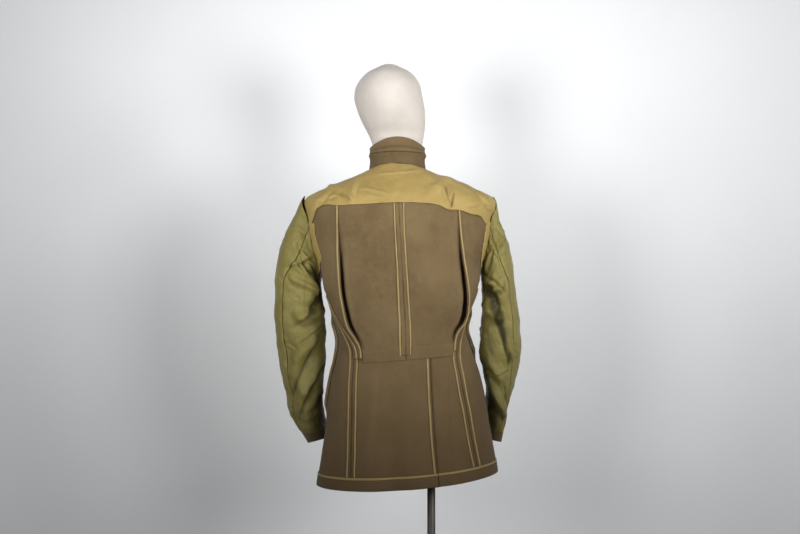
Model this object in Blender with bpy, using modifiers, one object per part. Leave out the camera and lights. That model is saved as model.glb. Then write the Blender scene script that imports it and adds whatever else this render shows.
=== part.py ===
"""Military service jacket, inside out, on a dress form with a plain egg head and a pole stand.

The jacket's back faces -Y and its front +Y. Sizes are in millimetres and become metres in the meshes.
"""

import math
from collections import namedtuple

import bmesh
import bpy
import numpy as np

MM = 0.001

# Wall thicknesses and the gaps between cloth layers
WOOL = 1.6
LINING = 1.0
TAPE = 1.2
COLLAR_CLOTH = 3.0
LAYER_GAP = 0.4
SEAM_GAP = 0.6
EDGE_GAP = 0.3
FORM_INSET = 9.0

# Heights of the cloth's faces over a panel
SECOND_LAYER = WOOL + LAYER_GAP
TRIM_FACE = TAPE + LAYER_GAP
LINING_FACE = LINING + LAYER_GAP

# Heights of the main lines, read at the jacket's sides
HEM = 808.0
WAIST = 1098.0
ARMPIT = 1290.0
SHOULDER = 1459.0
NECK_EDGE = 1522.5
YOKE_TOP = 1521.5
YOKE_MIDDLE = 1430.0

# Cut sizes
HEM_TURN = 24.0
BINDING = 4.6
CENTRE_ALLOWANCE = 9.0
SIDE_ALLOWANCE = 7.0
WAIST_BAND = 20.0
VENT_UNDERLAP = 45.0
VENT_BINDING_INSET = 4.0
FRONT_OVERLAP_DEG = 9.0
FRONT_RISE_DEG = (31.5, 11.7)
CUFF_START = 577.0
SLEEVE_LENGTH = 605.0
FRONT_SEAM_DEG = 225.0
FIN_DEG = 96.0
FIN_HEIGHT = 5.0
FIN_LEVELS = {"left": (965.0, 1205.0), "right": (1065.0, 1205.0)}
PLEAT_LIFT = 9.0
PLEAT_WIDEST = (1185.0, 1215.0)
PLEAT_CLOSED = (1103.0, 1420.0)
VENT_RISE = 50.0
SIDE_SEAM_CLEAR = 1.5
HEM_END_CLEAR = 3.0
VENT_CLEAR = 1.2

# Half the armhole's width, in degrees round the body
ARMHOLE_BACK_DEG = 15.0
ARMHOLE_FRONT_DEG = 31.0

# Stand
POLE_X, POLE_Y = 78.0, 5.0
POLE_RADIUS = 9.5
FORM_BOTTOM, FORM_FOOT = 872.0, 14.0
FLANGE_RADIUS, FLANGE_THICK = 36.0, 8.0
BASE_RADIUS, BASE_THICK, BASE_EDGE = 210.0, 6.0, 1.5
HUB_RADIUS, HUB_TOP_RADIUS, HUB_HEIGHT, HUB_FOOT = 26.0, 13.0, 42.0, 8.0
NECK_JOIN = 1532.0

# Edges sharper than this are shaded as corners
CORNER_DEG = 40.0

# Roundness of the body's sections: 1 is an ellipse, less is squarer
BODY_POWER = 0.9

Section = namedtuple(
    "Section",
    "level back_rise front_rise half_width back_depth front_depth centre_x centre_y roll",
)
BODY = [
    Section(808, -9, -4, 211, 150, 155, 22, 0, 4.3),
    Section(870, -6, -3, 202, 146, 152, 21.5, 0, 4.3),
    Section(930, -3, -1, 192, 142, 148, 20.5, 0, 4.3),
    Section(990, 0, 0, 184, 136, 143, 18.5, 0, 4.3),
    Section(1059, 0, 0, 169, 127, 137, 15.5, 0, 4.4),
    Section(1105, 0, 0, 155, 117, 131, 12.5, 0, 4.5),
    Section(1141, 0, 0, 148.5, 112, 127, 10, 0, 4.3),
    Section(1181, 0, 0, 158, 113, 128, 9, 0, 3.6),
    Section(1223, 0, 0, 173, 119, 131, 10, 0, 3.0),
    Section(1293, 0, 0, 185, 127, 134, 7, 0, 1.6),
    Section(1351, 0, 0, 204, 130, 127, 4.5, 0, 0.6),
    Section(1410, 2, 0, 215, 126, 115, 3.5, 0, 0),
    Section(1459, 11, -6, 218, 108, 88, 5, 0, 0),
    Section(1497, 18, -19, 140, 78, 68, 3, 8, 0),
    Section(1524, 17, -34, 66.5, 51, 63, -1, 10, 0),
]

# Where the seams and edges of the back cross each height, across the body
Seam = namedtuple("Seam", "level left_side left_pleat centre vent right_pleat right_side")
SEAMS = [
    Seam(808, -107, -80, 24, 91, 126, 184),
    Seam(840, -106, -80, 23, 88, 126, 178),
    Seam(960, -104, -80, 21, 78, 126, 156),
    Seam(1035, -103.5, -80, 19, 74, 126, 142.5),
    Seam(1098, -101, -80, 18, 72, 126, 134),
    Seam(1117, -102, -82, 18, 72, 127, 137),
    Seam(1145, -113, -95, 17.5, 72, 134, 147),
    Seam(1165, -123.5, -106.5, 17, 72, 146, 154),
    Seam(1200, -144, -118.5, 15, 72, 155, 168),
    Seam(1225, -156, -124, 13.5, 72, 157, 178),
    Seam(1255, -170, -129, 12, 72, 155, 187),
    Seam(1290, -182, -131.5, 10, 72, 151, 196),
    Seam(1350, -190, -134.5, 6.7, 72, 143.5, 202),
    Seam(1430, -200, -135, 2, 72, 136, 212),
    Seam(1524, -135, -135, -1, 72, 136, 136),
]

# The yoke lining's lower edge across the back
YokeEdge = namedtuple("YokeEdge", "across level")
YOKE_EDGE = [
    YokeEdge(-209, 1396),
    YokeEdge(-203, 1408),
    YokeEdge(-190, 1426),
    YokeEdge(-172, 1437),
    YokeEdge(-135, 1436),
    YokeEdge(-60, 1437),
    YokeEdge(0, 1439),
    YokeEdge(60, 1438),
    YokeEdge(95, 1434),
    YokeEdge(112, 1427),
    YokeEdge(136, 1427),
    YokeEdge(170, 1419),
    YokeEdge(195, 1414),
    YokeEdge(211, 1398),
]

# The collar from its seam up: base, hollow, roll, crease, edge
CollarRing = namedtuple("CollarRing", "step side back front half_width back_depth front_depth centre_y")
COLLAR = [
    CollarRing(0, 1524.5, 1541.5, 1491, 67.5, 51.5, 63.5, 10),
    CollarRing(1, 1549, 1556, 1512, 64.5, 49.5, 62.5, 11),
    CollarRing(2, 1560, 1565, 1520, 67.5, 52.5, 63.5, 12),
    CollarRing(3, 1567.5, 1571, 1526, 65, 50, 62, 13),
    CollarRing(4, 1579, 1603, 1541, 65, 49, 60, 15),
]
COLLAR_SPLIT, COLLAR_SPLIT_GAP = 3.0, 0.08
COLLAR_CENTRE_X = -1.0
COLLAR_OPENING_DEG = 2.5

# The sleeves: the tube's outer and inner edge, and half its depth square to the line between them
SleeveRing = namedtuple("SleeveRing", "along outer_x outer_y outer_z inner_x inner_y inner_z half_depth")
SLEEVES = {
    "left": [
        SleeveRing(0, -215, -2, 1459, -185, -2, 1290, 58),
        SleeveRing(55, -240, 0, 1408, -184, 0, 1262, 62),
        SleeveRing(115, -262, 2, 1358, -180, 2, 1234, 64),
        SleeveRing(175, -282, 4, 1298, -175, 4, 1206, 64),
        SleeveRing(240, -289, 5, 1230, -171, 6, 1174, 63),
        SleeveRing(300, -288, 8, 1165, -169, 10, 1137, 61),
        SleeveRing(355, -282, 11, 1101, -170, 14, 1092, 58),
        SleeveRing(410, -274, 16, 1045, -173, 20, 1045, 54),
        SleeveRing(460, -264, 28, 996, -178, 30, 1001, 54),
        SleeveRing(505, -257, 46, 957, -178, 42, 963, 54),
        SleeveRing(540, -243, 64, 931, -174, 56, 939, 52),
        SleeveRing(605, -214, 104, 878, -160, 92, 894, 48),
    ],
    "right": [
        SleeveRing(0, 225, -2, 1459, 199, -2, 1290, 58),
        SleeveRing(55, 243, 0, 1402, 200, 0, 1262, 62),
        SleeveRing(115, 258, 2, 1346, 199, 2, 1234, 64),
        SleeveRing(175, 269, 4, 1286, 197, 4, 1206, 64),
        SleeveRing(240, 280, 5, 1213, 194, 6, 1172, 63),
        SleeveRing(300, 288, 8, 1148, 192, 10, 1134, 61),
        SleeveRing(355, 288, 11, 1096, 193, 14, 1092, 58),
        SleeveRing(410, 278, 20, 1050, 201, 22, 1052, 56),
        SleeveRing(460, 267, 36, 1004, 208, 32, 1008, 57),
        SleeveRing(505, 257, 60, 965, 210, 50, 971, 57),
        SleeveRing(540, 250, 84, 936, 207, 70, 943, 54),
        SleeveRing(605, 240, 116, 879, 195, 96, 893, 49),
    ],
}
SIDE_SIGN = {"left": -1, "right": 1}
ARMHOLE_BLEND = 130.0
SLEEVE_RADIUS = 60.0
SLEEVE_SEAM_GAP_DEG = 0.8
FOLDS_START, FOLDS_END = (20.0, 90.0), 50.0
FOLD_TROUGH = 0.35
SLEEVE_GAP = 3.5

# The sleeves' hind seam: it leaves the armhole at the back and swings out above the elbow
HindSeam = namedtuple("HindSeam", "along degrees")
HIND_SEAM = [
    HindSeam(0, 78),
    HindSeam(60, 76),
    HindSeam(110, 71),
    HindSeam(150, 60),
    HindSeam(190, 51),
    HindSeam(230, 49),
    HindSeam(270, 49),
    HindSeam(605, 49),
]

# The largest sleeve folds: soft ridges from one place to another, by angle round and distance along
Fold = namedtuple("Fold", "from_deg from_along to_deg to_along width height")
SLEEVE_FOLDS = {
    "left": [
        Fold(150, 120, 75, 165, 9, 7),
        Fold(185, 185, 95, 262, 13, 11),
        Fold(170, 285, 80, 365, 14, 8),
        Fold(185, 350, 100, 450, 14, 9),
        Fold(75, 395, 95, 520, 16, 7),
        Fold(40, 330, -30, 345, 9, 5),
        Fold(235, 330, 320, 360, 13, 8),
    ],
    "right": [
        Fold(150, 130, 80, 175, 9, 7),
        Fold(165, 165, 95, 250, 13, 11),
        Fold(95, 250, 62, 355, 13, 9),
        Fold(170, 330, 90, 420, 14, 7),
        Fold(140, 430, 75, 520, 14, 7),
        Fold(45, 90, 0, 110, 8, 5),
        Fold(235, 330, 320, 360, 13, 8),
    ],
}

# The soft drapes of the skirt, as ridges out of the cloth
Drape = namedtuple("Drape", "across top width height")
SKIRT_DRAPES = [
    Drape(-60, 1040, 30, 4),
    Drape(-14, 1010, 20, -5),
    Drape(40, 1030, 30, 4),
    Drape(128, 1040, 24, 3),
]

# The head and neck: egg sections
HeadRing = namedtuple("HeadRing", "height half_width back_depth front_depth centre_x centre_y")
HEAD = [
    HeadRing(1532.4, 57, 42, 50, -1, 12),
    HeadRing(1560, 57, 41, 50, -1, 14),
    HeadRing(1588, 59, 42, 54, -1.5, 17),
    HeadRing(1610, 65, 49, 72, -4, 20),
    HeadRing(1635, 73, 68, 90, -9, 20),
    HeadRing(1667, 79.5, 85, 98, -16, 19),
    HeadRing(1702, 80, 93, 98, -23, 18),
    HeadRing(1737, 69, 84, 86, -22, 17),
    HeadRing(1760, 46, 58, 60, -21, 17),
    HeadRing(1772, 22, 28, 28, -21, 17),
]

Finish = namedtuple("Finish", "colour roughness metallic")
FINISHES = {
    "wool": Finish((0.13, 0.092, 0.043), 0.9, 0.0),
    "yoke_lining": Finish((0.42, 0.30, 0.10), 0.7, 0.0),
    "sleeve_lining": Finish((0.20, 0.18, 0.05), 0.55, 0.0),
    "binding": Finish((0.36, 0.26, 0.10), 0.75, 0.0),
    "form_cover": Finish((0.80, 0.77, 0.71), 0.8, 0.0),
    "stand_metal": Finish((0.05, 0.045, 0.042), 0.45, 0.8),
}


# Curves through the tables


def smooth(table, at):
    """Every column of a table at the given values of its first column, on smooth curves through its rows."""
    rows = np.array(table, float)
    knots = rows[:, 0]
    at = np.asarray(at, float)
    slopes = np.gradient(rows, knots, axis=0)
    i = np.clip(np.searchsorted(knots, at) - 1, 0, len(knots) - 2)
    span = (knots[i + 1] - knots[i])[..., None]
    t = np.clip((at[..., None] - knots[i][..., None]) / span, 0, 1)
    start = (2 * t**3 - 3 * t**2 + 1) * rows[i] + (t**3 - 2 * t**2 + t) * slopes[i] * span
    end = (3 * t**2 - 2 * t**3) * rows[i + 1] + (t**3 - t**2) * slopes[i + 1] * span
    return type(table[0])(*np.moveaxis(start + end, -1, 0))


def ease(value, low, high):
    """0 below low, 1 above high and a soft rise between them."""
    t = np.clip((np.asarray(value, float) - low) / (high - low), 0, 1)
    return t * t * (3 - 2 * t)


def signed_power(value, power):
    return np.sign(value) * np.abs(value) ** power


def joined(*axes):
    return np.stack(np.broadcast_arrays(*axes), -1).astype(float)


# The body's cloth face. An angle of 0 is the centre back, 90 degrees the right side, 180 the front.


def body_face(angle, level):
    s = smooth(BODY, level)
    side = signed_power(np.sin(angle), BODY_POWER)
    rear = signed_power(np.cos(angle), BODY_POWER)
    depth = np.where(rear > 0, s.back_depth, s.front_depth)
    rise = np.where(rear > 0, s.back_rise, s.front_rise) * np.cos(angle) ** 2
    x = s.centre_x + s.half_width * side
    z = s.level + rise + s.half_width * side * np.tan(np.radians(s.roll))
    return joined(x, s.centre_y - depth * rear, z)


def on_body(angle, level, out=0.0):
    """Points that far out of the body's cloth face."""
    turn, climb = 0.004, 0.6
    across = body_face(angle + turn, level) - body_face(angle - turn, level)
    upward = body_face(angle, level + climb) - body_face(angle, level - climb)
    normal = np.cross(across, upward)
    normal /= np.linalg.norm(normal, axis=-1, keepdims=True)
    out = out + skirt_drape(angle, level)
    return body_face(angle, level) + normal * np.asarray(out, float)[..., None]


def skirt_drape(angle, level):
    """How far the skirt's soft drapes stand out at the back."""
    x = body_face(angle, level)[..., 0]
    total = np.zeros(np.broadcast(angle, level).shape)
    for drape in SKIRT_DRAPES:
        ridge = np.exp(-(((x - drape.across) / drape.width) ** 2))
        total = total + drape.height * ridge * (1 - ease(level, HEM, drape.top))
    return total * (np.cos(angle) > 0)


def back_angle(across, level):
    """The angle at which the back of the body lies at this place across."""
    s = smooth(BODY, level)
    share = np.clip((across - s.centre_x) / s.half_width, -1, 1)
    return np.arcsin(signed_power(share, 1 / BODY_POWER))


def sideways(angle, level, distance):
    """The angle at that distance round the body from this one, at the same height."""
    turn = 0.01
    arc = np.linalg.norm(body_face(angle + turn, level) - body_face(angle - turn, level), axis=-1)
    return angle + distance * 2 * turn / arc


def seam_angle(name, level):
    return back_angle(getattr(smooth(SEAMS, level), name), level)


def armhole_angle(side, level, width_deg):
    """The armhole's edge at a height: at the side in its ends, and that far round in its middle."""
    share = np.clip((level - ARMPIT) / (SHOULDER - ARMPIT), 0, 1)
    bulge = np.sqrt(np.maximum(0, 1 - (2 * share - 1) ** 2))
    return SIDE_SIGN[side] * (math.pi / 2 - math.radians(width_deg) * bulge)


def back_edge(side, level):
    """The outer edge of the back: the side seam, and above it the armhole."""
    return np.where(
        level < ARMPIT,
        seam_angle(side + "_side", level),
        armhole_angle(side, level, ARMHOLE_BACK_DEG),
    )


def front_edge(side, level):
    """The rear edge of the front: the side seam, and above it the armhole."""
    return np.where(
        level < ARMPIT,
        seam_angle(side + "_side", level),
        armhole_angle(side, level, -ARMHOLE_FRONT_DEG),
    )


def yoke_level(across):
    return smooth(YOKE_EDGE, across).level


def spaced(start, end, count):
    return np.linspace(start, end, count)


def pleat_edge(side, level):
    """A pleat's free edge; above the yoke's edge it keeps its share of the width."""
    share = seam_angle(side + "_pleat", YOKE_MIDDLE) / back_edge(side, YOKE_MIDDLE)
    below = seam_angle(side + "_pleat", level)
    return np.where(level < YOKE_MIDDLE, below, share * back_edge(side, level))


# Rows shared by all the panels, so that their edges and what lies on them meet exactly

SKIRT_LEVELS = np.concatenate(
    [[HEM, HEM + HEM_TURN], spaced(HEM + HEM_TURN + BINDING + SEAM_GAP, WAIST, 7)]
)
BODICE_LEVELS = spaced(WAIST, ARMPIT, 9)
SHOULDER_LEVELS = spaced(SHOULDER, NECK_EDGE, 5)
TAPER_ROWS = {"armpit": 8, "yoke": 14, "shoulder": 17}
PLEAT_COLUMN = 5
SIDE_COLUMN = 9


def below_waist(levels):
    """The rows with the waist seam's gap left above the last."""
    return np.append(levels[:-1], levels[-1] - SEAM_GAP)


def above_waist(levels):
    return np.append(levels[0] + SEAM_GAP, levels[1:])


def back_lattice(side):
    """Angles and heights of one half of the back, from the centre seam out and from the waist up."""
    inner = spaced(0, 1, PLEAT_COLUMN + 1)
    outer = spaced(0, 1, SIDE_COLUMN - PLEAT_COLUMN + 1)[1:]
    half_gap = SIDE_SIGN[side] * SEAM_GAP / 2

    def across(level):
        centre = sideways(seam_angle("centre", level), level, half_gap)
        pleat = pleat_edge(side, level)
        edge = sideways(back_edge(side, level), level, -half_gap)
        near = (centre * (1 - share) + pleat * share for share in inner)
        far = (pleat * (1 - share) + edge * share for share in outer)
        columns = list(near) + list(far)
        return np.stack([column[:, c] for c, column in enumerate(columns)], axis=1)

    middle = np.full((1, SIDE_COLUMN + 1), YOKE_MIDDLE)
    yoke = yoke_level(body_face(across(middle), middle)[..., 0])
    flat = np.ones_like(yoke)
    rise = spaced(0, 1, TAPER_ROWS["yoke"] - TAPER_ROWS["armpit"] + 1)[1:, None] ** 1.5
    close = 1 - (1 - spaced(0, 1, TAPER_ROWS["shoulder"] - TAPER_ROWS["yoke"] + 1)[1:, None]) ** 1.5
    level = np.concatenate(
        [
            above_waist(BODICE_LEVELS)[:, None] * flat,
            ARMPIT + rise * (yoke - ARMPIT),
            yoke + close * (SHOULDER - yoke),
            SHOULDER_LEVELS[1:, None] * flat,
        ]
    )
    return across(level), level


# Meshes


def grid_mesh(name, points):
    """An open surface over a grid of points, given as rows of columns."""
    rows, columns = points.shape[:2]
    bm = bmesh.new()
    verts = [bm.verts.new(p) for p in (points.reshape(-1, 3) * MM)]
    for r in range(rows - 1):
        for c in range(columns - 1):
            i = r * columns + c
            bm.faces.new([verts[i], verts[i + 1], verts[i + columns + 1], verts[i + columns]])
    mesh = bpy.data.meshes.new(name)
    bm.to_mesh(mesh)
    bm.free()
    return mesh


def add_object(name, mesh, finish):
    mesh.materials.append(bpy.data.materials[finish])
    mesh.shade_smooth()
    mesh.set_sharp_from_angle(angle=math.radians(CORNER_DEG))
    obj = bpy.data.objects.new(name, mesh)
    bpy.data.collections["service_jacket_on_form"].objects.link(obj)
    return obj


def cloth(name, points, thickness, finish):
    """A cloth wall: the points are its outer face, and its thickness lies inside them."""
    obj = add_object(name, grid_mesh(name, points), finish)
    wall = obj.modifiers.new("wall", "SOLIDIFY")
    wall.thickness = thickness * MM
    wall.offset = -1
    return obj


def lofted_solid(name, rings, finish):
    """A closed solid through rings of points, from the bottom ring to the top one."""
    count = rings.shape[1]
    bm = bmesh.new()
    verts = [[bm.verts.new(p * MM) for p in ring] for ring in rings]
    for low, high in zip(verts, verts[1:]):
        for c in range(count):
            d = (c + 1) % count
            bm.faces.new([low[c], low[d], high[d], high[c]])
    bm.faces.new(verts[0][::-1])
    bm.faces.new(verts[-1])
    mesh = bpy.data.meshes.new(name)
    bm.to_mesh(mesh)
    bm.free()
    return add_object(name, mesh, finish)


def turned_solid(name, profile, finish, centre, steps):
    """A solid turned round an upright axis from a profile of radius and height that ends on the axis."""
    bm = bmesh.new()
    verts = [bm.verts.new((r * MM, 0, z * MM)) for r, z in profile]
    for a, b in zip(verts, verts[1:]):
        bm.edges.new((a, b))
    mesh = bpy.data.meshes.new(name)
    bm.to_mesh(mesh)
    bm.free()
    obj = add_object(name, mesh, finish)
    screw = obj.modifiers.new("turn", "SCREW")
    screw.steps = screw.render_steps = steps
    screw.use_merge_vertices = True
    screw.merge_threshold = 1e-5
    obj.location = (centre[0] * MM, centre[1] * MM, 0)
    return obj


# Back, pleats and skirt


def patch(levels, start, end, columns, out=0.0):
    """A grid of body points: a row at each height, from one angle to another."""
    level = np.asarray(levels, float)[:, None]
    share = spaced(0, 1, columns)[None, :]
    angle = start(level) * (1 - share) + end(level) * share
    lift = out(angle, level) if callable(out) else out
    return on_body(angle, level + 0 * share, lift + 0 * angle)


def shifted(edge, distance):
    return lambda level: sideways(edge(level), level, distance)


def vent_lift(angle, level):
    """How far the left skirt stands off the right one that runs under it at the vent."""
    x = body_face(angle, level)[..., 0]
    vent = smooth(SEAMS, level).vent
    lapped = vent - VENT_UNDERLAP - HEM_END_CLEAR
    return SECOND_LAYER * ease(x, lapped - VENT_RISE, lapped) * (np.cos(angle) > 0)


def front_lift(angle, level):
    """How far the right front stands off the left one that it covers."""
    start, end = (math.pi - math.radians(before) for before in FRONT_RISE_DEG)
    return SECOND_LAYER * ease(angle, start, end) + 0 * level


def outward(side, points):
    """Turns a grid laid out from the inside to the outside edge so that its faces point out."""
    return points if side == "right" else points[:, ::-1]


def build_back():
    for side in SIDE_SIGN:
        angle, level = back_lattice(side)
        cloth(f"back_{side}", outward(side, on_body(angle, level)), WOOL, "wool")


def pleat_lift(side):
    """How far a pleat's underlay stands out of the panel: most at its free edge, near the waist."""

    def lift(angle, level):
        free, sewn = pleat_edge(side, level), back_edge(side, level)
        share = np.clip((angle - free) / (sewn - free), 0, 1)
        opens = ease(level, PLEAT_CLOSED[0], PLEAT_WIDEST[0])
        closes = ease(level, PLEAT_WIDEST[1], PLEAT_CLOSED[1])
        return SECOND_LAYER + PLEAT_LIFT * opens * (1 - closes) * (1 - share)

    return lift


def pleat_lattice(side):
    """The back's angles and heights under the pleat, up to just below the yoke's edge."""
    angle, level = back_lattice(side)
    rows, columns = slice(0, TAPER_ROWS["yoke"] + 1), slice(PLEAT_COLUMN, None)
    level = level[rows, columns].copy()
    level[-1] -= 2 * SEAM_GAP
    return angle[rows, columns], level


def build_pleats():
    for side, sign in SIDE_SIGN.items():
        angle, level = pleat_lattice(side)
        lift = pleat_lift(side)
        points = on_body(angle, level, lift(angle, level))
        cloth(f"pleat_{side}", outward(side, points), WOOL, "wool")
        free = lambda l, side=side: pleat_edge(side, l)
        near, far = sorted((sign * EDGE_GAP, sign * BINDING))
        out = raised(TRIM_FACE + LAYER_GAP, lift)
        strip(f"pleat_binding_{side}", free, level[:, 0], near, far, out, TAPE, "binding")


def build_armhole_tapes():
    for side in SIDE_SIGN:
        angle, level = pleat_lattice(side)
        rows = slice(TAPER_ROWS["armpit"] + 3, None)
        angle, level = angle[rows, -2:], level[rows, -2:]
        out = pleat_lift(side)(angle, level) + LINING_FACE
        cloth(f"armhole_tape_{side}", outward(side, on_body(angle, level, out)), LINING, "yoke_lining")


def skirt_columns(side):
    """The angles of a back skirt's columns by height, with those of the vent's overlap shared."""
    vent = lambda level: seam_angle("vent", level)
    lap = [shifted(vent, -VENT_UNDERLAP), shifted(vent, -VENT_UNDERLAP / 2), vent]
    seam = shifted(lambda l: seam_angle(side + "_side", l), -SIDE_SIGN[side] * SEAM_GAP / 2)
    count = {"left": 9, "right": 6}[side]

    def angles(level):
        shares = spaced(0, 1, count + 1)[None, :]
        if side == "left":
            plain = seam(level) * (1 - shares) + lap[0](level) * shares
            return np.concatenate([plain, lap[1](level), lap[2](level)], axis=1)
        plain = vent(level) * (1 - shares) + seam(level) * shares
        return np.concatenate([lap[0](level), lap[1](level), plain], axis=1)

    return angles


def build_skirt():
    level = below_waist(SKIRT_LEVELS)[:, None]
    for side, lift in (("left", vent_lift), ("right", None)):
        angle = skirt_columns(side)(level)
        out = lift(angle, level) if lift else 0 * angle
        cloth(f"skirt_{side}", on_body(angle, level + 0 * angle, out), WOOL, "wool")


def front_columns(side):
    """The angles of a front's columns by height, from its seam to past the centre front."""
    lap = math.radians(FRONT_OVERLAP_DEG)
    sign = SIDE_SIGN[side]
    seam = shifted(lambda l: front_edge(side, l), sign * SEAM_GAP / 2)

    def angles(level):
        shares = spaced(0, 1, 8)[None, :]
        plain = seam(level) * (1 - shares) + sign * (math.pi - lap) * shares
        ends = sign * np.array([[math.pi, math.pi + lap]]) + 0 * level
        return np.concatenate([plain, ends], axis=1)

    return angles


def front_levels():
    share = (1 - np.cos(np.pi * spaced(0, 1, 8)[1:-1])) / 2
    armhole = ARMPIT + (SHOULDER - ARMPIT) * share
    return np.concatenate([SKIRT_LEVELS[:-1], BODICE_LEVELS, armhole, SHOULDER_LEVELS])


def build_fronts():
    level = front_levels()[:, None]
    for side, lift in (("left", None), ("right", front_lift)):
        angle = front_columns(side)(level)
        out = lift(angle, level) if lift else 0 * angle
        points = on_body(angle, level + 0 * angle, out)
        cloth(f"front_{side}", outward(side, points), WOOL, "wool")


# Seam allowances, bindings and hem


def strip(name, edge, levels, near, far, out, thickness, finish):
    """A flat strip beside a line on the body, between two distances from it."""
    grid = patch(levels, shifted(edge, near), shifted(edge, far), 2, out)
    return cloth(name, grid, thickness, finish)


def raised(amount, base):
    """A height on top of the panel's own lift."""
    return lambda angle, level: amount + base(angle, level)


def bound_strips(name, line, levels, way, near, fold, out):
    """A seam allowance beside its seam, and the binding along its edge."""
    allowance = sorted((way * near, way * fold))
    tape = sorted((way * (fold + EDGE_GAP), way * (fold + EDGE_GAP + BINDING)))
    kind, place = name
    strip(f"{kind}_allowance_{place}", line, levels, *allowance, out, TAPE, "wool")
    strip(f"{kind}_binding_{place}", line, levels, *tape, out, TAPE, "binding")


def build_centre_seam():
    levels = spaced(WAIST + SEAM_GAP, float(yoke_level(0.0)) - 2 * SEAM_GAP, 12)
    centre = lambda level: seam_angle("centre", level)
    for side, sign in SIDE_SIGN.items():
        bound_strips(("centre", side), centre, levels, sign, EDGE_GAP, CENTRE_ALLOWANCE, TRIM_FACE)


def build_side_seams():
    foot = SKIRT_LEVELS[2] + SEAM_GAP
    skirt = np.append(foot, below_waist(SKIRT_LEVELS)[3:])
    bodice = above_waist(BODICE_LEVELS)[:-2]
    whole = np.concatenate([skirt[:-1], [WAIST], bodice[1:]])
    runs = [
        ("fore_left", "left", -1, whole, TRIM_FACE),
        ("fore_right", "right", 1, whole, TRIM_FACE),
        ("rear_left", "left", 1, skirt, TRIM_FACE),
        ("rear_right", "right", -1, skirt, TRIM_FACE),
        ("upper_left", "left", 1, bodice, raised(TRIM_FACE, pleat_lift("left"))),
    ]
    for place, side, way, levels, out in runs:
        line = lambda level, side=side: seam_angle(side + "_side", level)
        bound_strips(("side", place), line, levels, way, SIDE_SEAM_CLEAR, SIDE_ALLOWANCE, out)


def build_waist_band():
    levels = spaced(WAIST + SEAM_GAP, WAIST + WAIST_BAND, 3)
    clear = CENTRE_ALLOWANCE + EDGE_GAP + BINDING + SEAM_GAP
    centre = lambda level: seam_angle("centre", level)
    left = shifted(lambda level: seam_angle("left_pleat", level), SIDE_SEAM_CLEAR)
    right = shifted(lambda level: seam_angle("right_pleat", level), -SIDE_SEAM_CLEAR)
    spans = {"left": (left, shifted(centre, -clear)), "right": (shifted(centre, clear), right)}
    for side, (start, end) in spans.items():
        cloth(f"waist_band_{side}", patch(levels, start, end, 6, LINING_FACE), LINING, "wool")


def build_vent_binding():
    levels = np.append(SKIRT_LEVELS[2] + SEAM_GAP, below_waist(SKIRT_LEVELS)[3:])
    vent = lambda level: seam_angle("vent", level)
    far = -VENT_BINDING_INSET
    out = raised(TRIM_FACE, vent_lift)
    strip("vent_binding", vent, levels, far - BINDING, far, out, TAPE, "binding")


def hem_angles(side, level):
    """The angles of the skirt's and the front's columns in one row, clear of what covers them."""
    skirt, front = skirt_columns(side)(level), front_columns(side)(level)
    if side == "left":
        end = sideways(front[:, -3:-2], level, HEM_END_CLEAR)
        return np.concatenate([end, front[:, :-3][:, ::-1], skirt], axis=1)
    start = sideways(skirt[:, 2:3], level, VENT_CLEAR)
    return np.concatenate([start, skirt[:, 3:], front], axis=1)


def build_hem():
    rows = {
        "turn": (np.array([HEM + SEAM_GAP, HEM + HEM_TURN]), "wool"),
        "binding": (np.array([HEM + HEM_TURN + EDGE_GAP, SKIRT_LEVELS[2]]), "binding"),
    }
    lifts = {"left": vent_lift, "right": front_lift}
    for side, lift in lifts.items():
        for name, (levels, finish) in rows.items():
            level = levels[:, None]
            angle = hem_angles(side, level)
            out = TRIM_FACE + lift(angle, level)
            cloth(f"hem_{name}_{side}", on_body(angle, level + 0 * angle, out), TAPE, finish)


def build_fins():
    """The underarm seam's allowances stand off the side, with a bound edge."""
    for side, sign in SIDE_SIGN.items():
        levels = spaced(*FIN_LEVELS[side], 8)
        angle = sign * math.radians(FIN_DEG) + 0 * levels
        foot, fold = LAYER_GAP, LAYER_GAP + FIN_HEIGHT
        tape_end = fold + EDGE_GAP + BINDING
        for name, low, high, finish in (
            ("fin", foot, fold, "wool"),
            ("fin_binding", fold + EDGE_GAP, tape_end, "binding"),
        ):
            points = np.stack([on_body(angle, levels, low), on_body(angle, levels, high)], axis=1)
            cloth(f"underarm_{name}_{side}", points, TAPE, finish)


# Yoke and collar


def build_yoke():
    halves = {side: back_lattice(side) for side in SIDE_SIGN}
    rows = slice(TAPER_ROWS["yoke"], None)
    angle = np.concatenate([halves["left"][0][rows, ::-1], halves["right"][0][rows, 1:]], axis=1)
    level = np.concatenate([halves["left"][1][rows, ::-1], halves["right"][1][rows, 1:]], axis=1)
    level[-1] = YOKE_TOP
    cloth("yoke_lining", on_body(angle, level, LINING_FACE), LINING, "yoke_lining")
    level = np.append(SHOULDER_LEVELS[:-1], YOKE_TOP)[:, None]
    for side in SIDE_SIGN:
        angle = front_columns(side)(level)[:, :3]
        points = on_body(angle, level + 0 * angle, LINING_FACE)
        cloth(f"yoke_front_{side}", outward(side, points), LINING, "yoke_lining")


def collar_face(angle, step):
    s = smooth(COLLAR, step)
    rear = np.cos(angle)
    height = s.side + np.where(rear > 0, s.back - s.side, s.front - s.side) * rear**2
    depth = np.where(rear > 0, s.back_depth, s.front_depth)
    return joined(COLLAR_CENTRE_X + s.half_width * np.sin(angle), s.centre_y - depth * rear, height)


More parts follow.
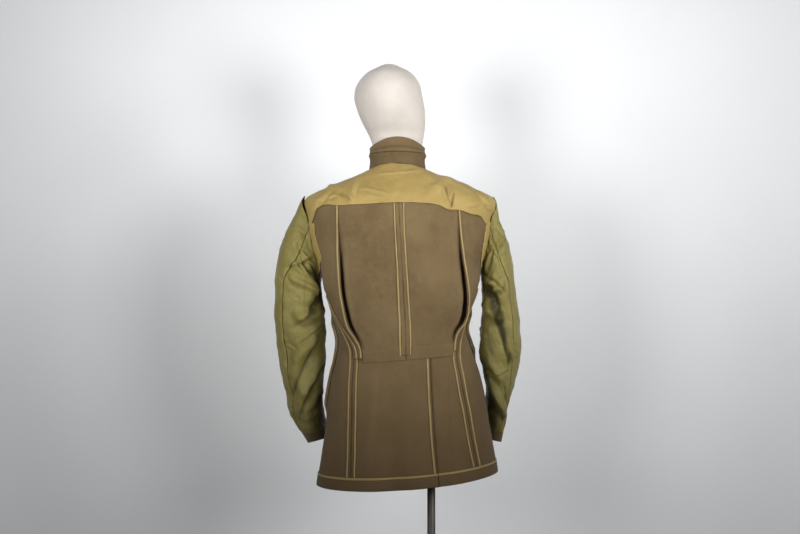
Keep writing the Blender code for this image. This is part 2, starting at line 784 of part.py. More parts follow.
def build_collar():
    opening = math.radians(COLLAR_OPENING_DEG)
    angle = spaced(-math.pi + opening, math.pi - opening, 25)[None, :]
    for name, low, high, rows in (
        ("collar_stand", COLLAR[0].step, COLLAR_SPLIT - COLLAR_SPLIT_GAP, 7),
        ("collar_fall", COLLAR_SPLIT, COLLAR[-1].step, 4),
    ):
        step = spaced(low, high, rows)[:, None]
        cloth(name, collar_face(angle, step + 0 * angle), COLLAR_CLOTH, "wool")


# Sleeves


def armhole_ring(side, turn):
    """The armhole's edge as the sleeve meets it, by the angle round the sleeve."""
    level = ARMPIT + (SHOULDER - ARMPIT) * (1 + np.cos(turn)) / 2
    width = np.where(np.sin(turn) > 0, ARMHOLE_BACK_DEG, ARMHOLE_FRONT_DEG)
    angle = SIDE_SIGN[side] * (math.pi / 2 - np.radians(width) * np.sin(turn))
    return body_face(angle, level) + np.array([SIDE_SIGN[side] * SLEEVE_GAP, 0, 0])


def sleeve_oval(side, turn, along):
    s = smooth(SLEEVES[side], along)
    outer = joined(s.outer_x, s.outer_y, s.outer_z)
    inner = joined(s.inner_x, s.inner_y, s.inner_z)
    middle, reach = (outer + inner) / 2, (outer - inner) / 2
    flat = np.hypot(reach[..., 0], reach[..., 1])
    back = SIDE_SIGN[side] * joined(reach[..., 1] / flat, -reach[..., 0] / flat, 0 * flat)
    depth = back * s.half_depth[..., None]
    return middle + reach * np.cos(turn)[..., None] + depth * np.sin(turn)[..., None]


def sleeve_face(side, turn, along):
    """Angle 0 is the sleeve's outer edge, 90 degrees its back and 180 its inner edge."""
    turn, along = np.broadcast_arrays(turn, along)
    misfit = armhole_ring(side, turn) - sleeve_oval(side, turn, 0 * along)
    return sleeve_oval(side, turn, along) + misfit * (1 - ease(along, 0, ARMHOLE_BLEND))[..., None]


def fold_height(folds, turn, along):
    """How high the folds stand, with a shallow trough beside each."""
    radius = SLEEVE_RADIUS
    total = np.zeros(np.broadcast(turn, along).shape)
    for fold in folds:
        start = np.array([math.radians(fold.from_deg) * radius, fold.from_along])
        run = np.array([math.radians(fold.to_deg) * radius, fold.to_along]) - start
        round_by, along_by = turn * radius - start[0], along - start[1]
        share = np.clip((round_by * run[0] + along_by * run[1]) / (run @ run), 0, 1)
        off = np.hypot(round_by - share * run[0], along_by - share * run[1])
        ridge = np.exp(-((off / fold.width) ** 2))
        trough = np.exp(-(((off - 2 * fold.width) / fold.width) ** 2))
        total = total + fold.height * (ridge - FOLD_TROUGH * trough)
    return total


def on_sleeve(side, turn, along):
    """Points of a sleeve's outer face, with its folds."""
    turn, along = np.broadcast_arrays(turn, along)
    round_by = sleeve_face(side, turn + 0.02, along) - sleeve_face(side, turn - 0.02, along)
    downward = sleeve_face(side, turn, along + 1) - sleeve_face(side, turn, along - 1)
    normal = SIDE_SIGN[side] * np.cross(round_by, downward)
    normal /= np.linalg.norm(normal, axis=-1, keepdims=True)
    height = fold_height(SLEEVE_FOLDS[side], turn, along)
    height = height * ease(along, *FOLDS_START) * (1 - ease(along, CUFF_START - FOLDS_END, CUFF_START))
    return sleeve_face(side, turn, along) + normal * height[..., None]


def sleeve_rows(points, side):
    """Orders a sleeve grid so that its faces point out of the tube."""
    return points[:, ::-1] if side == "right" else points


def build_sleeves():
    gap = math.radians(SLEEVE_SEAM_GAP_DEG)
    along = spaced(0, CUFF_START - SEAM_GAP, 21)[:, None]
    hind, front = np.radians(smooth(HIND_SEAM, along).degrees), math.radians(FRONT_SEAM_DEG)
    for side in SIDE_SIGN:
        halves = (("top", front - 2 * math.pi, hind, 12), ("under", hind, front, 12))
        for name, start, end, columns in halves:
            share = spaced(0, 1, columns)[None, :]
            turn = (start + gap) * (1 - share) + (end - gap) * share
            points = sleeve_rows(on_sleeve(side, turn, along), side)
            cloth(f"sleeve_{name}_{side}", points[::-1], LINING, "sleeve_lining")


def build_cuffs():
    gap = math.radians(SLEEVE_SEAM_GAP_DEG)
    along = spaced(CUFF_START, SLEEVE_LENGTH, 3)[:, None]
    seam = math.radians(FRONT_SEAM_DEG)
    for side in SIDE_SIGN:
        turn = spaced(seam - 2 * math.pi + gap, seam - gap, 25)[None, :]
        points = sleeve_rows(on_sleeve(side, turn, along), side)
        cloth(f"cuff_facing_{side}", points[::-1], WOOL, "wool")


# Dress form and stand


def build_form():
    turn = spaced(0, 2 * math.pi, 29)[:-1]
    trunk = spaced(FORM_BOTTOM + FORM_FOOT, ARMPIT, 9)
    chest = spaced(ARMPIT, SHOULDER, 5)
    levels = np.concatenate([trunk[:-1], chest[:-1], SHOULDER_LEVELS])
    rings = on_body(turn[None, :], levels[:, None] + 0 * turn, -FORM_INSET)
    foot = rings[0].copy()
    foot[:, 2] = FORM_BOTTOM
    neck = head_ring(turn, np.array(HEAD[0].height))
    neck[:, 2] = NECK_JOIN
    lofted_solid("form_torso", np.concatenate([foot[None], rings, neck[None]]), "form_cover")


def head_ring(turn, height):
    s = smooth(HEAD, height)
    rear = np.cos(turn)
    depth = np.where(rear > 0, s.back_depth, s.front_depth)
    return joined(s.centre_x + s.half_width * np.sin(turn), s.centre_y - depth * rear, s.height)


def build_head():
    turn = spaced(0, 2 * math.pi, 25)[:-1]
    heights = np.array([ring.height for ring in HEAD])
    between = (heights[2:-1] + heights[3:]) / 2
    heights = np.sort(np.concatenate([heights, between]))
    rings = np.stack([head_ring(turn, h + 0 * turn) for h in heights])
    lofted_solid("form_head", rings, "form_cover")


def build_stand():
    flange_top = FORM_BOTTOM - LAYER_GAP
    flange_low = flange_top - FLANGE_THICK
    hub_low = BASE_THICK + LAYER_GAP
    hub_top = hub_low + HUB_HEIGHT
    pole_low, pole_top = hub_top + LAYER_GAP, flange_low - LAYER_GAP
    profiles = {
        "stand_flange": [(FLANGE_RADIUS, flange_top), (FLANGE_RADIUS, flange_low)],
        "stand_pole": [(POLE_RADIUS, pole_top), (POLE_RADIUS, pole_low)],
        "stand_hub": [(HUB_TOP_RADIUS, hub_top), (HUB_RADIUS, hub_low + HUB_FOOT), (HUB_RADIUS, hub_low)],
        "stand_base": [
            (BASE_RADIUS - BASE_EDGE, BASE_THICK),
            (BASE_RADIUS, BASE_THICK - BASE_EDGE),
            (BASE_RADIUS, 0),
        ],
    }
    steps = {"stand_flange": 24, "stand_pole": 20, "stand_hub": 20, "stand_base": 48}
    for name, rim in profiles.items():
        closed = [(0, rim[0][1]), *rim, (0, rim[-1][1])]
        turned_solid(name, closed, "stand_metal", (POLE_X, POLE_Y), steps[name])


# Scene


def clear_scene():
    for obj in list(bpy.data.objects):
        bpy.data.objects.remove(obj)
    collection = bpy.data.collections.new("service_jacket_on_form")
    bpy.context.scene.collection.children.link(collection)


def make_materials():
    for name, finish in FINISHES.items():
        material = bpy.data.materials.new(name)
        material.use_nodes = True
        shader = material.node_tree.nodes["Principled BSDF"]
        shader.inputs["Base Color"].default_value = (*finish.colour, 1)
        shader.inputs["Roughness"].default_value = finish.roughness
        shader.inputs["Metallic"].default_value = finish.metallic


def centre_on_origin():
    """Stands the whole on the origin, which is below the middle of its box."""
    bpy.context.view_layer.update()
    graph = bpy.context.evaluated_depsgraph_get()
    pieces = list(bpy.data.collections["service_jacket_on_form"].objects)
    corners = []
    for obj in pieces:
        mesh = obj.evaluated_get(graph).to_mesh()
        points = np.empty(len(mesh.vertices) * 3)
        mesh.vertices.foreach_get("co", points)
        points = points.reshape(-1, 3) + np.array(obj.location)
        corners += [points.min(axis=0), points.max(axis=0)]
    low, high = np.min(corners, axis=0), np.max(corners, axis=0)
    root = bpy.data.objects.new("origin", None)
    bpy.context.scene.collection.objects.link(root)
    root.location = (-(low[0] + high[0]) / 2, -(low[1] + high[1]) / 2, -low[2])
    for obj in pieces:
        obj.parent = root


def main():
    clear_scene()
    make_materials()
    build_back()
    build_pleats()
    build_skirt()
    build_fronts()
    build_centre_seam()
    build_side_seams()
    build_waist_band()
    build_vent_binding()
    build_hem()
    build_fins()
    build_yoke()
    build_collar()
    build_armhole_tapes()
    build_sleeves()
    build_cuffs()
    build_form()
    build_head()
    build_stand()
    centre_on_origin()


main()
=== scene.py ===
"""Looks of the inside-out service jacket on its dress form: fine cloth, sewing, finishes, light and camera.

The jacket's back faces -Y and its front +Y. Sizes are in millimetres and become metres in the meshes.
"""

import math
from collections import namedtuple

import bpy
import numpy as np
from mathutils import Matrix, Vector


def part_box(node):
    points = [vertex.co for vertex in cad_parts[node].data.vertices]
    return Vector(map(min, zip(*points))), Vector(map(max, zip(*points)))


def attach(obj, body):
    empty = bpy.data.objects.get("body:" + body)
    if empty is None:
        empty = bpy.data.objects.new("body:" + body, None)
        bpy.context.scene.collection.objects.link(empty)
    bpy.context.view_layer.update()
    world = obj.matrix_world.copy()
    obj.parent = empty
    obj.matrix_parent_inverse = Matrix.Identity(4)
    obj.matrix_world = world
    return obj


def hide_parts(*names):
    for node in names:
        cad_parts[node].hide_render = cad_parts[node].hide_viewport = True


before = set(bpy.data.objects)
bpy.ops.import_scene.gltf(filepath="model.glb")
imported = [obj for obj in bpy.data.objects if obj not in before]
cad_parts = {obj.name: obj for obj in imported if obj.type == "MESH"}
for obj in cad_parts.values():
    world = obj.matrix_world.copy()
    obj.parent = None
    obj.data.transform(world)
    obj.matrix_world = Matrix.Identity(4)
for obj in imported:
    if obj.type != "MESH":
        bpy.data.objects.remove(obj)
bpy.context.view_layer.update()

MM = 0.001

# Wall thicknesses and the gaps between cloth layers
WOOL = 1.6
LINING = 1.0
TAPE = 1.2
COLLAR_CLOTH = 3.0
LAYER_GAP = 0.4
SEAM_GAP = 0.6
EDGE_GAP = 0.3
FORM_INSET = 9.0
SECOND_LAYER = WOOL + LAYER_GAP
TRIM_FACE = TAPE + LAYER_GAP
LINING_FACE = LINING + LAYER_GAP

# Heights of the main lines
HEM = 808.0
WAIST = 1098.0
ARMPIT = 1290.0
SHOULDER = 1459.0
NECK_EDGE = 1522.5
YOKE_TOP = 1521.5
YOKE_MIDDLE = 1430.0

# Cut sizes
HEM_TURN = 24.0
BINDING = 4.6
CENTRE_ALLOWANCE = 9.0
SIDE_ALLOWANCE = 7.0
WAIST_BAND = 20.0
VENT_UNDERLAP = 45.0
VENT_BINDING_INSET = 4.0
FRONT_OVERLAP_DEG = 9.0
FRONT_RISE_DEG = (31.5, 11.7)
CUFF_START = 577.0
SLEEVE_LENGTH = 605.0
FRONT_SEAM_DEG = 225.0
FIN_DEG = 96.0
FIN_HEIGHT = 5.0
FIN_LEVELS = {"left": (965.0, 1205.0), "right": (1065.0, 1205.0)}
PLEAT_LIFT = 13.0
PLEAT_SLIDE = 9.0
PLEAT_TOP = 1446.0
PLEAT_WIDEST = (1180.0, 1260.0)
PLEAT_CLOSED = (1103.0, 1420.0)
VENT_RISE = 50.0
SIDE_SEAM_CLEAR = 1.5
HEM_END_CLEAR = 3.0
VENT_CLEAR = 1.2
ARMHOLE_BACK_DEG = 15.0
ARMHOLE_FRONT_DEG = 31.0

# Stand
POLE_X, POLE_Y = 78.0, 5.0
POLE_RADIUS = 9.5
FORM_BOTTOM, FORM_FOOT = 872.0, 14.0
FLANGE_RADIUS, FLANGE_THICK = 36.0, 8.0
BASE_RADIUS, BASE_THICK, BASE_EDGE = 210.0, 6.0, 1.5
HUB_RADIUS, HUB_TOP_RADIUS, HUB_HEIGHT, HUB_FOOT = 26.0, 13.0, 42.0, 8.0
FLANGE_EDGE, POLE_EDGE, HUB_EDGE = 1.0, 0.6, 1.2
NECK_JOIN = 1532.0
HEAD_DOME = 5.5

BODY_POWER = 0.9
SIDE_SIGN = {"left": -1, "right": 1}

# Camera, in the jacket's frame: level, with the photograph's 800 by 534 frame
CAMERA = (4.68, -3600.0, 1300.0)
FRAME_PX = (800.0, 534.0)
FOCAL_PX = 1537.0
SENSOR = 36.0
MM_PER_PX = 2.34

Section = namedtuple(
    "Section",
    "level back_rise front_rise half_width back_depth front_depth centre_x centre_y roll",
)
BODY = [
    Section(808, -9, -4, 211, 150, 155, 22, 0, 4.3),
    Section(870, -6, -3, 202, 146, 152, 21.5, 0, 4.3),
    Section(930, -3, -1, 192, 142, 148, 20.5, 0, 4.3),
    Section(990, 0, 0, 184, 136, 143, 18.5, 0, 4.3),
    Section(1059, 0, 0, 169, 127, 137, 15.5, 0, 4.4),
    Section(1105, 0, 0, 155, 117, 131, 12.5, 0, 4.5),
    Section(1141, 0, 0, 148.5, 112, 127, 10, 0, 4.3),
    Section(1181, 0, 0, 158, 113, 128, 9, 0, 3.6),
    Section(1223, 0, 0, 173, 119, 131, 10, 0, 3.0),
    Section(1293, 0, 0, 185, 127, 134, 7, 0, 1.6),
    Section(1351, 0, 0, 204, 130, 127, 4.5, 0, 0.6),
    Section(1410, 2, 0, 215, 126, 115, 3.5, 0, 0),
    Section(1459, 11, -6, 218, 108, 88, 5, 0, 0),
    Section(1497, 18, -19, 140, 78, 68, 3, 8, 0),
    Section(1524, 17, -34, 66.5, 51, 63, -1, 10, 0),
]

Seam = namedtuple("Seam", "level left_side left_pleat centre vent right_pleat right_side")
SEAMS = [
    Seam(808, -107, -80, 24, 91, 126, 184),
    Seam(840, -106, -80, 23, 88, 126, 178),
    Seam(960, -104, -80, 21, 78, 126, 156),
    Seam(1035, -103.5, -80, 19, 74, 126, 142.5),
    Seam(1098, -101, -80, 18, 72, 126, 134),
    Seam(1117, -102, -82, 18, 72, 127, 137),
    Seam(1145, -113, -95, 17.5, 72, 134, 147),
    Seam(1165, -123.5, -106.5, 17, 72, 146, 154),
    Seam(1200, -144, -118.5, 15, 72, 155, 168),
    Seam(1225, -156, -124, 13.5, 72, 157, 178),
    Seam(1255, -170, -129, 12, 72, 155, 187),
    Seam(1290, -182, -131.5, 10, 72, 151, 196),
    Seam(1350, -190, -134.5, 6.7, 72, 143.5, 202),
    Seam(1430, -200, -135, 2, 72, 136, 212),
    Seam(1524, -135, -135, -1, 72, 136, 136),
]

YokeEdge = namedtuple("YokeEdge", "across level")
YOKE_EDGE = [
    YokeEdge(-209, 1396),
    YokeEdge(-203, 1408),
    YokeEdge(-190, 1426),
    YokeEdge(-172, 1437),
    YokeEdge(-135, 1436),
    YokeEdge(-60, 1437),
    YokeEdge(0, 1439),
    YokeEdge(60, 1438),
    YokeEdge(95, 1434),
    YokeEdge(112, 1427),
    YokeEdge(136, 1427),
    YokeEdge(170, 1419),
    YokeEdge(195, 1414),
    YokeEdge(211, 1398),
]

CollarRing = namedtuple("CollarRing", "step side back front half_width back_depth front_depth centre_y")
COLLAR = [
    CollarRing(0, 1524.5, 1541.5, 1491, 67.5, 51.5, 63.5, 10),
    CollarRing(1, 1549, 1556, 1512, 64.5, 49.5, 62.5, 11),
    CollarRing(2, 1560, 1565, 1520, 67.5, 52.5, 63.5, 12),
    CollarRing(3, 1567.5, 1571, 1526, 65, 50, 62, 13),
    CollarRing(4, 1579, 1603, 1541, 65, 49, 60, 15),
]
COLLAR_SPLIT, COLLAR_SPLIT_GAP = 3.0, 0.08
COLLAR_CENTRE_X = -1.0
COLLAR_OPENING_DEG = 2.5

SleeveRing = namedtuple("SleeveRing", "along outer_x outer_y outer_z inner_x inner_y inner_z half_depth")
SLEEVES = {
    "left": [
        SleeveRing(0, -215, -2, 1459, -185, -2, 1290, 58),
        SleeveRing(55, -240, 0, 1408, -184, 0, 1262, 62),
        SleeveRing(115, -262, 2, 1358, -180, 2, 1234, 64),
        SleeveRing(175, -282, 4, 1298, -175, 4, 1206, 64),
        SleeveRing(240, -289, 5, 1230, -171, 6, 1174, 63),
        SleeveRing(300, -288, 8, 1165, -169, 10, 1137, 61),
        SleeveRing(355, -282, 11, 1101, -170, 14, 1092, 58),
        SleeveRing(410, -274, 16, 1045, -173, 20, 1045, 54),
        SleeveRing(460, -264, 28, 996, -178, 30, 1001, 54),
        SleeveRing(505, -257, 46, 957, -178, 42, 963, 54),
        SleeveRing(540, -243, 64, 931, -174, 56, 939, 52),
        SleeveRing(605, -214, 104, 878, -160, 92, 894, 48),
    ],
    "right": [
        SleeveRing(0, 225, -2, 1459, 199, -2, 1290, 58),
        SleeveRing(55, 243, 0, 1402, 200, 0, 1262, 62),
        SleeveRing(115, 258, 2, 1346, 199, 2, 1234, 64),
        SleeveRing(175, 269, 4, 1286, 197, 4, 1206, 64),
        SleeveRing(240, 280, 5, 1213, 194, 6, 1172, 63),
        SleeveRing(300, 288, 8, 1148, 192, 10, 1134, 61),
        SleeveRing(355, 288, 11, 1096, 193, 14, 1092, 58),
        SleeveRing(410, 278, 20, 1050, 201, 22, 1052, 56),
        SleeveRing(460, 267, 36, 1004, 208, 32, 1008, 57),
        SleeveRing(505, 257, 60, 965, 210, 50, 971, 57),
        SleeveRing(540, 250, 84, 936, 207, 70, 943, 54),
        SleeveRing(605, 240, 116, 879, 195, 96, 893, 49),
    ],
}
ARMHOLE_BLEND = 130.0
SLEEVE_RADIUS = 60.0
SLEEVE_SEAM_GAP_DEG = 0.8
FOLDS_START, FOLDS_END = (20.0, 90.0), 50.0
FOLD_TROUGH = 0.35
EDGE_FLATTENING = 0.8
# Painted shade towards the sleeves' inner edge, by the body
INNER_SHADE = 0.6
Puff = namedtuple("Puff", "along span height")
HEAD_PUFFS = {
    "left": [Puff(90, 90, 9)],
    "right": [Puff(35, 40, -7), Puff(150, 45, 3)],
}
CAP_OVERHANG, CAP_CLIMB, CAP_OUT, CAP_LENGTH = 15.0, 6.0, 6.6, 40.0
SLEEVE_GAP = 3.5

HindSeam = namedtuple("HindSeam", "along degrees")
HIND_SEAM = [
    HindSeam(0, 78),
    HindSeam(60, 76),
    HindSeam(110, 71),
    HindSeam(150, 60),
    HindSeam(190, 51),
    HindSeam(230, 49),
    HindSeam(270, 49),
    HindSeam(605, 49),
]

Fold = namedtuple("Fold", "from_deg from_along to_deg to_along width height")
SLEEVE_FOLDS = {
    "left": [
        Fold(150, 120, 75, 165, 9, 7),
        Fold(185, 185, 95, 262, 13, 11),
        Fold(170, 285, 80, 365, 14, 8),
        Fold(185, 350, 100, 450, 14, 9),
        Fold(75, 395, 95, 520, 16, 7),
        Fold(40, 330, -30, 345, 9, 5),
        Fold(235, 330, 320, 360, 13, 8),
    ],
    "right": [
        Fold(150, 130, 80, 175, 9, 7),
        Fold(165, 165, 95, 250, 13, 11),
        Fold(95, 250, 62, 355, 13, 9),
        Fold(170, 330, 90, 420, 14, 7),
        Fold(140, 430, 75, 520, 14, 7),
        Fold(45, 90, 0, 110, 8, 5),
        Fold(235, 330, 320, 360, 13, 8),
    ],
}

Drape = namedtuple("Drape", "across top width height")
SKIRT_DRAPES = [
    Drape(-60, 1040, 30, 4),
    Drape(-14, 1010, 20, -5),
    Drape(40, 1030, 30, 4),
    Drape(128, 1040, 24, 3),
]

HeadRing = namedtuple("HeadRing", "height half_width back_depth front_depth centre_x centre_y")
HEAD = [
    HeadRing(1532.4, 57, 42, 50, -1, 12),
    HeadRing(1560, 57, 41, 50, -1, 14),
    HeadRing(1588, 59, 42, 54, -1.5, 17),
    HeadRing(1610, 65, 49, 72, -4, 20),
    HeadRing(1635, 73, 68, 90, -9, 20),
    HeadRing(1667, 79.5, 85, 98, -16, 19),
    HeadRing(1702, 80, 93, 98, -23, 18),
    HeadRing(1737, 69, 84, 86, -22, 17),
    HeadRing(1760, 46, 58, 60, -21, 17),
    HeadRing(1772, 22, 28, 28, -21, 17),
]

# Creases of the back view. Their ends are pixels of the photograph, and their sizes millimetres.
# The valley lies on a crease's line. The ridge is a width to the image's left of one that runs down.
Crease = namedtuple("Crease", "from_px from_py to_px to_py width ridge valley")
LEFT_SLEEVE_CREASES = [
    Crease(310, 270, 325, 291, 14, 2, 11),
    Crease(327, 286, 307, 317, 18, 6, 12),
    Crease(309, 315, 292, 329, 9, 2.5, 4),
    Crease(306, 279, 305, 311, 8, 3, 4),
    Crease(322, 326, 294, 348, 5, 3, 3.5),
    Crease(285.5, 343, 297, 350, 4, 2, 2.5),
    Crease(322, 332, 308, 358, 18, 6, 8),
    Crease(309, 356, 291, 396, 17, 5, 8),
    Crease(325, 362, 310, 390, 16, 5, 9),
    Crease(311, 388, 299, 416, 14, 4, 7),
    Crease(324, 388, 315, 413, 12, 3, 8),
    Crease(289.5, 407, 302.5, 426, 6, 2.5, 3),
    Crease(305.5, 235, 296.5, 246, 4, 2, 2),
    Crease(305.5, 235, 292, 225, 4, 1.5, 1.5),
    Crease(311, 259, 290, 268, 6, 4, 6),
    Crease(298, 242, 301, 261, 6, 3, 3.5),
    Crease(301, 261, 310, 274, 6, 5, 8),
    Crease(295, 262, 303, 273, 5, 3, 4),
    Crease(304, 251, 314, 263, 6, 4, 6),
    Crease(310, 264, 318, 276, 6, 4, 8),
    Crease(280, 272, 284, 284, 3, 1.2, 1.5),
    Crease(300, 404, 288, 409, 4, 1.5, 2),
    Crease(282, 358, 290, 372, 3.5, 1.5, 1.5),
]
RIGHT_SLEEVE_CREASES = [
    Crease(486, 284, 496, 312, 15, 4, 12),
    Crease(493, 303, 503, 338, 14, 4, 12),
    Crease(502, 330, 508, 361, 10, 3, 8),
    Crease(480, 273, 492, 281, 7, 5, 5),
    Crease(491, 279, 507, 291, 7, 5, 6),
    Crease(489.5, 248, 480, 268, 5, 3, 6),
    Crease(493, 250, 487, 272, 6, 3, 7),
    Crease(494, 254, 502, 270, 5, 2, 3),
    Crease(507, 238, 496, 252, 5, 3, 4),
    Crease(490, 236, 497, 251, 5, 3, 4),
    Crease(484, 246, 490, 252, 4, 2, 3),
    Crease(486, 300, 488, 345, 12, 3, 2),
    Crease(489, 288, 500, 332, 26, 0, 6),
    Crease(479, 366, 496, 376, 4, 2.5, 2.5),
    Crease(509, 371, 496, 376, 4, 2, 2),
    Crease(483, 396, 500, 420, 8, 2.5, 2),
    Crease(504, 386, 507, 402, 4, 2, 5),
    Crease(510, 338, 521, 343, 3.5, 1.8, 2),
    Crease(511, 349, 521, 357, 4, 2, 2.5),
    Crease(509, 352, 510, 368, 5, 2, 5),
    Crease(500, 222, 508, 232, 6, 4, 3),
    Crease(497, 228, 507, 241, 5, 4, 4),
]
YOKE_CREASES = [
    Crease(342, 193, 329, 189.5, 6, 5.5, 2.4),
    Crease(352, 201.5, 341, 192.5, 6, 6.5, 3.2),
    Crease(333, 191, 322, 205, 8, 4, 2.2),
    Crease(386, 195.8, 362, 191.5, 5, 4.5, 2.4),
    Crease(359, 184, 353, 203, 9, 4, 2),
    Crease(444, 187, 451, 205, 6, 6, 3.2),
    Crease(454, 192, 451, 208, 5, 4, 2.8),
    Crease(447, 183, 430, 202, 12, 4, 1.4),
    Crease(490, 213, 477, 195, 6, 5.5, 2.8),
    Crease(470, 193, 443, 180, 7, 3, 1.4),
    Crease(420, 173, 378, 176, 4, 2, 1.2),
    Crease(322, 200, 313, 214, 7, 3.6, 2),
    Crease(336, 196, 330, 200, 5, 3.4, 2),
    Crease(404, 182, 396, 200, 12, 2.2, 1),
    Crease(480, 206, 464, 209, 7, 3, 1.4),
]
BACK_CREASES = [
    Crease(366, 330, 358, 346, 3, 1.2, 1.5),
    Crease(372, 334, 366, 348, 4, 1, 1),
    Crease(446, 322, 450, 343, 3.5, 1, 1.5),
    Crease(436, 330, 440, 346, 4, 0.8, 1),
    Crease(371, 225, 378, 300, 14, 1.2, 1.2),
    Crease(438, 220, 430, 300, 14, 1.2, 1.2),
    Crease(380, 366, 372, 470, 13, 1.5, 1.5),
    Crease(410, 372, 413, 480, 11, 1, 1.5),
    Crease(449, 372, 455, 470, 10, 1, 1.5),
    Crease(336, 372, 333, 470, 8, 1, 1.5),
]
SLEEVE_CREASES = {"left": LEFT_SLEEVE_CREASES, "right": RIGHT_SLEEVE_CREASES}

# How a point of the hidden side is set into the back view, to share its creases
TURNED_OVER = np.array([1.0, -1.0, 1.0])
TURNED_ROUND = np.array([-1.0, -1.0, 1.0])
CREASE_FADE = 0.22
RIDGE_AT, VALLEY_SPREAD, VALLEY_POWER = 1.0, 0.6, 1.15
DEEPEST_VALLEY = 13.0
WARP_PX, WARP_SIZE_PX = 0.8, 13.0

# A pleat's trough in the back panel, beside the free edge
Trough = namedtuple("Trough", "depth inner outer ridge ridge_at ridge_width")
PLEAT_TROUGH = Trough(depth=6.0, inner=4.5, outer=13.0, ridge=2.5, ridge_at=15.0, ridge_width=6.0)
TROUGH_AT = 3.0

# The armhole tapes' width by height, as the back view shows it
TAPE_OVERRUN = 5.0
TapeWidth = namedtuple("TapeWidth", "level left right")
ARMHOLE_TAPE = [
    TapeWidth(1296, 3, 4),
    TapeWidth(1310, 6, 7),
    TapeWidth(1326, 16, 9),
    TapeWidth(1345, 14, 10),
    TapeWidth(1380, 12, 10),
    TapeWidth(1420, 16, 11),
]

# Surface unevenness: amplitude and size of the waves, by cloth
Waves = namedtuple("Waves", "height size")
WOOL_WAVES = (Waves(0.9, 90.0), Waves(0.35, 28.0))
LINING_WAVES = (Waves(0.7, 46.0), Waves(0.45, 19.0))
SLEEVE_WAVES = (Waves(2.2, 70.0), Waves(1.2, 30.0), Waves(0.5, 13.0))
COLLAR_WAVES = (Waves(0.9, 26.0), Waves(0.45, 11.0))
STRIP_SWAY, STRIP_LOOSE = Waves(0.5, 37.0), Waves(0.4, 24.0)
TAPE_RUCK, TAPE_LIFT = Waves(1.4, 12.0), 0.6
FIN_LEAN, FIN_FADE, FIN_END_SHARE = Waves(1.6, 42.0), 30.0, 0.15
YOKE_CRUMPLE, YOKE_CRUMPLE_STRETCH = Waves(1.6, 34.0), 1.4
YOKE_FRONT_WAVES = Waves(0.6, 24.0)
SLEEVE_CRUMPLE, SLEEVE_CRUMPLE_STRETCH = Waves(2.2, 42.0), 0.7
FINE_CRUMPLE, FINE_CRUMPLE_SLANT, FINE_CRUMPLE_STRETCH = Waves(1.1, 20.0), 0.5, 0.8
GATHERS, GATHERS_STRETCH, GATHERS_REACH, GATHERS_START = Waves(1.6, 9.0), 0.25, 28.0, (2.0, 8.0)
PINCH, PINCH_WIDTH = 0.8, 3.2
PUCKERS = Waves(0.6, 9.0)
CRUMPLE_LEVEL = 0.4
LATTICE = 64
BODY_RADIUS, COLLAR_RADIUS, COLLAR_STEP = 160.0, 60.0, 20.0
BODY_NOISE_AT, LINING_NOISE_AT, COLLAR_NOISE_AT = 9000.0, 900.0, 400.0
SEEDS = {
    "warp": 3,
    "fin": 5,
    "body": 11,
    "yoke": 21,
    "yoke_crumple": 25,
    "yoke_front": 29,
    "tape": 31,
    "collar": 41,
    "puckers": 51,
    "left_sleeve": 61,
    "right_sleeve": 71,
}

# Collar: its tuck, lip, crease and painted shade, in steps up the collar where they are widths
COLLAR_TUCK, COLLAR_TUCK_RUN = 0.3, 0.25
COLLAR_LIP, COLLAR_LIP_WIDTH = 0.9, 0.12
STAND_SHADE, STAND_TUCK_SHADE, STAND_TUCK_SHADE_RUN = 0.2, 0.5, 0.8
FALL_CREASE, FALL_CREASE_STEP, FALL_CREASE_WIDTH, FALL_CREASE_SHADE = 0.8, 3.35, 0.1, 0.35
FALL_CREASE_ROUND = (0.0, 0.6)

# Where relief fades, as the low and high end of each rise
SIDE_FADE = (0.0, 0.25)
SLEEVE_SIDE_FADE = (0.02, 0.42)
RELIEF_START, RELIEF_END = (4.0, 20.0), 22.0
PUFF_ROUND = (0.2, 0.95)
FLATTENED_ROUND = (0.45, 0.95)
CAP_TOP, CAP_BACK = (0.3, 0.8), (0.0, 0.4)
UNDER_YOKE_RISE = (1.0, 12.0)
YOKE_TRIM_ROUND = (0.8, 1.0)

# Painted shade in the crevices
TROUGH_SHADE = 0.7
YOKE_SHADE, YOKE_SHADE_DEPTHS = 0.9, (0.2, 1.7)
SLEEVE_SHADE_DEPTHS, SLEEVE_SHADE_ROUND = (0.5, 7.0), (-0.3, 0.1)
INNER_SHADE_ROUND, INNER_SHADE_ALONG = (0.0, 0.95), (120.0, 300.0)

# Mesh fineness: rows and columns
BACK_ROWS = {"bodice": 64, "armhole": 44, "yoke": 10, "shoulder": 30}
PLEAT_COLUMNS, SIDE_COLUMNS = 44, 26
SKIRT_ROWS, SKIRT_COLUMNS = 80, 64
FRONT_ROWS, FRONT_COLUMNS = {"skirt": 120, "armhole": 46, "shoulder": 20}, 48
TAPE_ROWS, TAPE_COLUMNS = 70, 14
BAND_ROWS, BAND_COLUMNS = 25, 60
HEM_ROWS, HEM_SKIRT_COLUMNS, HEM_FRONT_COLUMNS, HEM_VENT_COLUMNS = 8, 80, 90, 50
FIN_ROWS = 90
YOKE_FRONT_ROWS = 40
COLLAR_ROWS, COLLAR_COLUMNS = {"stand": 34, "fall": 28}, 200
CUFF_ROWS, CUFF_COLUMNS = 14, 120
FORM_ROWS = {"foot": 6, "torso": 60, "shoulder": 20}
HEAD_ROWS, DOME_ROWS, DOME_END = 110, 12, 0.04
RING_POINTS = 96
STRIP_ROWS, STRIP_COLUMNS = 120, 7
ROW_CROWDING = 1.5
SLEEVE_ROWS = 240
TOP_COLUMNS, UNDER_COLUMNS = 84, 100
COLUMN_CROWDING = 1.3
YOKE_FINENESS = 2
UNDER_YOKE = 4.0
YOKE_TRIM, YOKE_TRIM_LEVELS, YOKE_TRIM_FADE = 8.0, (1405.0, 1440.0), 8.0
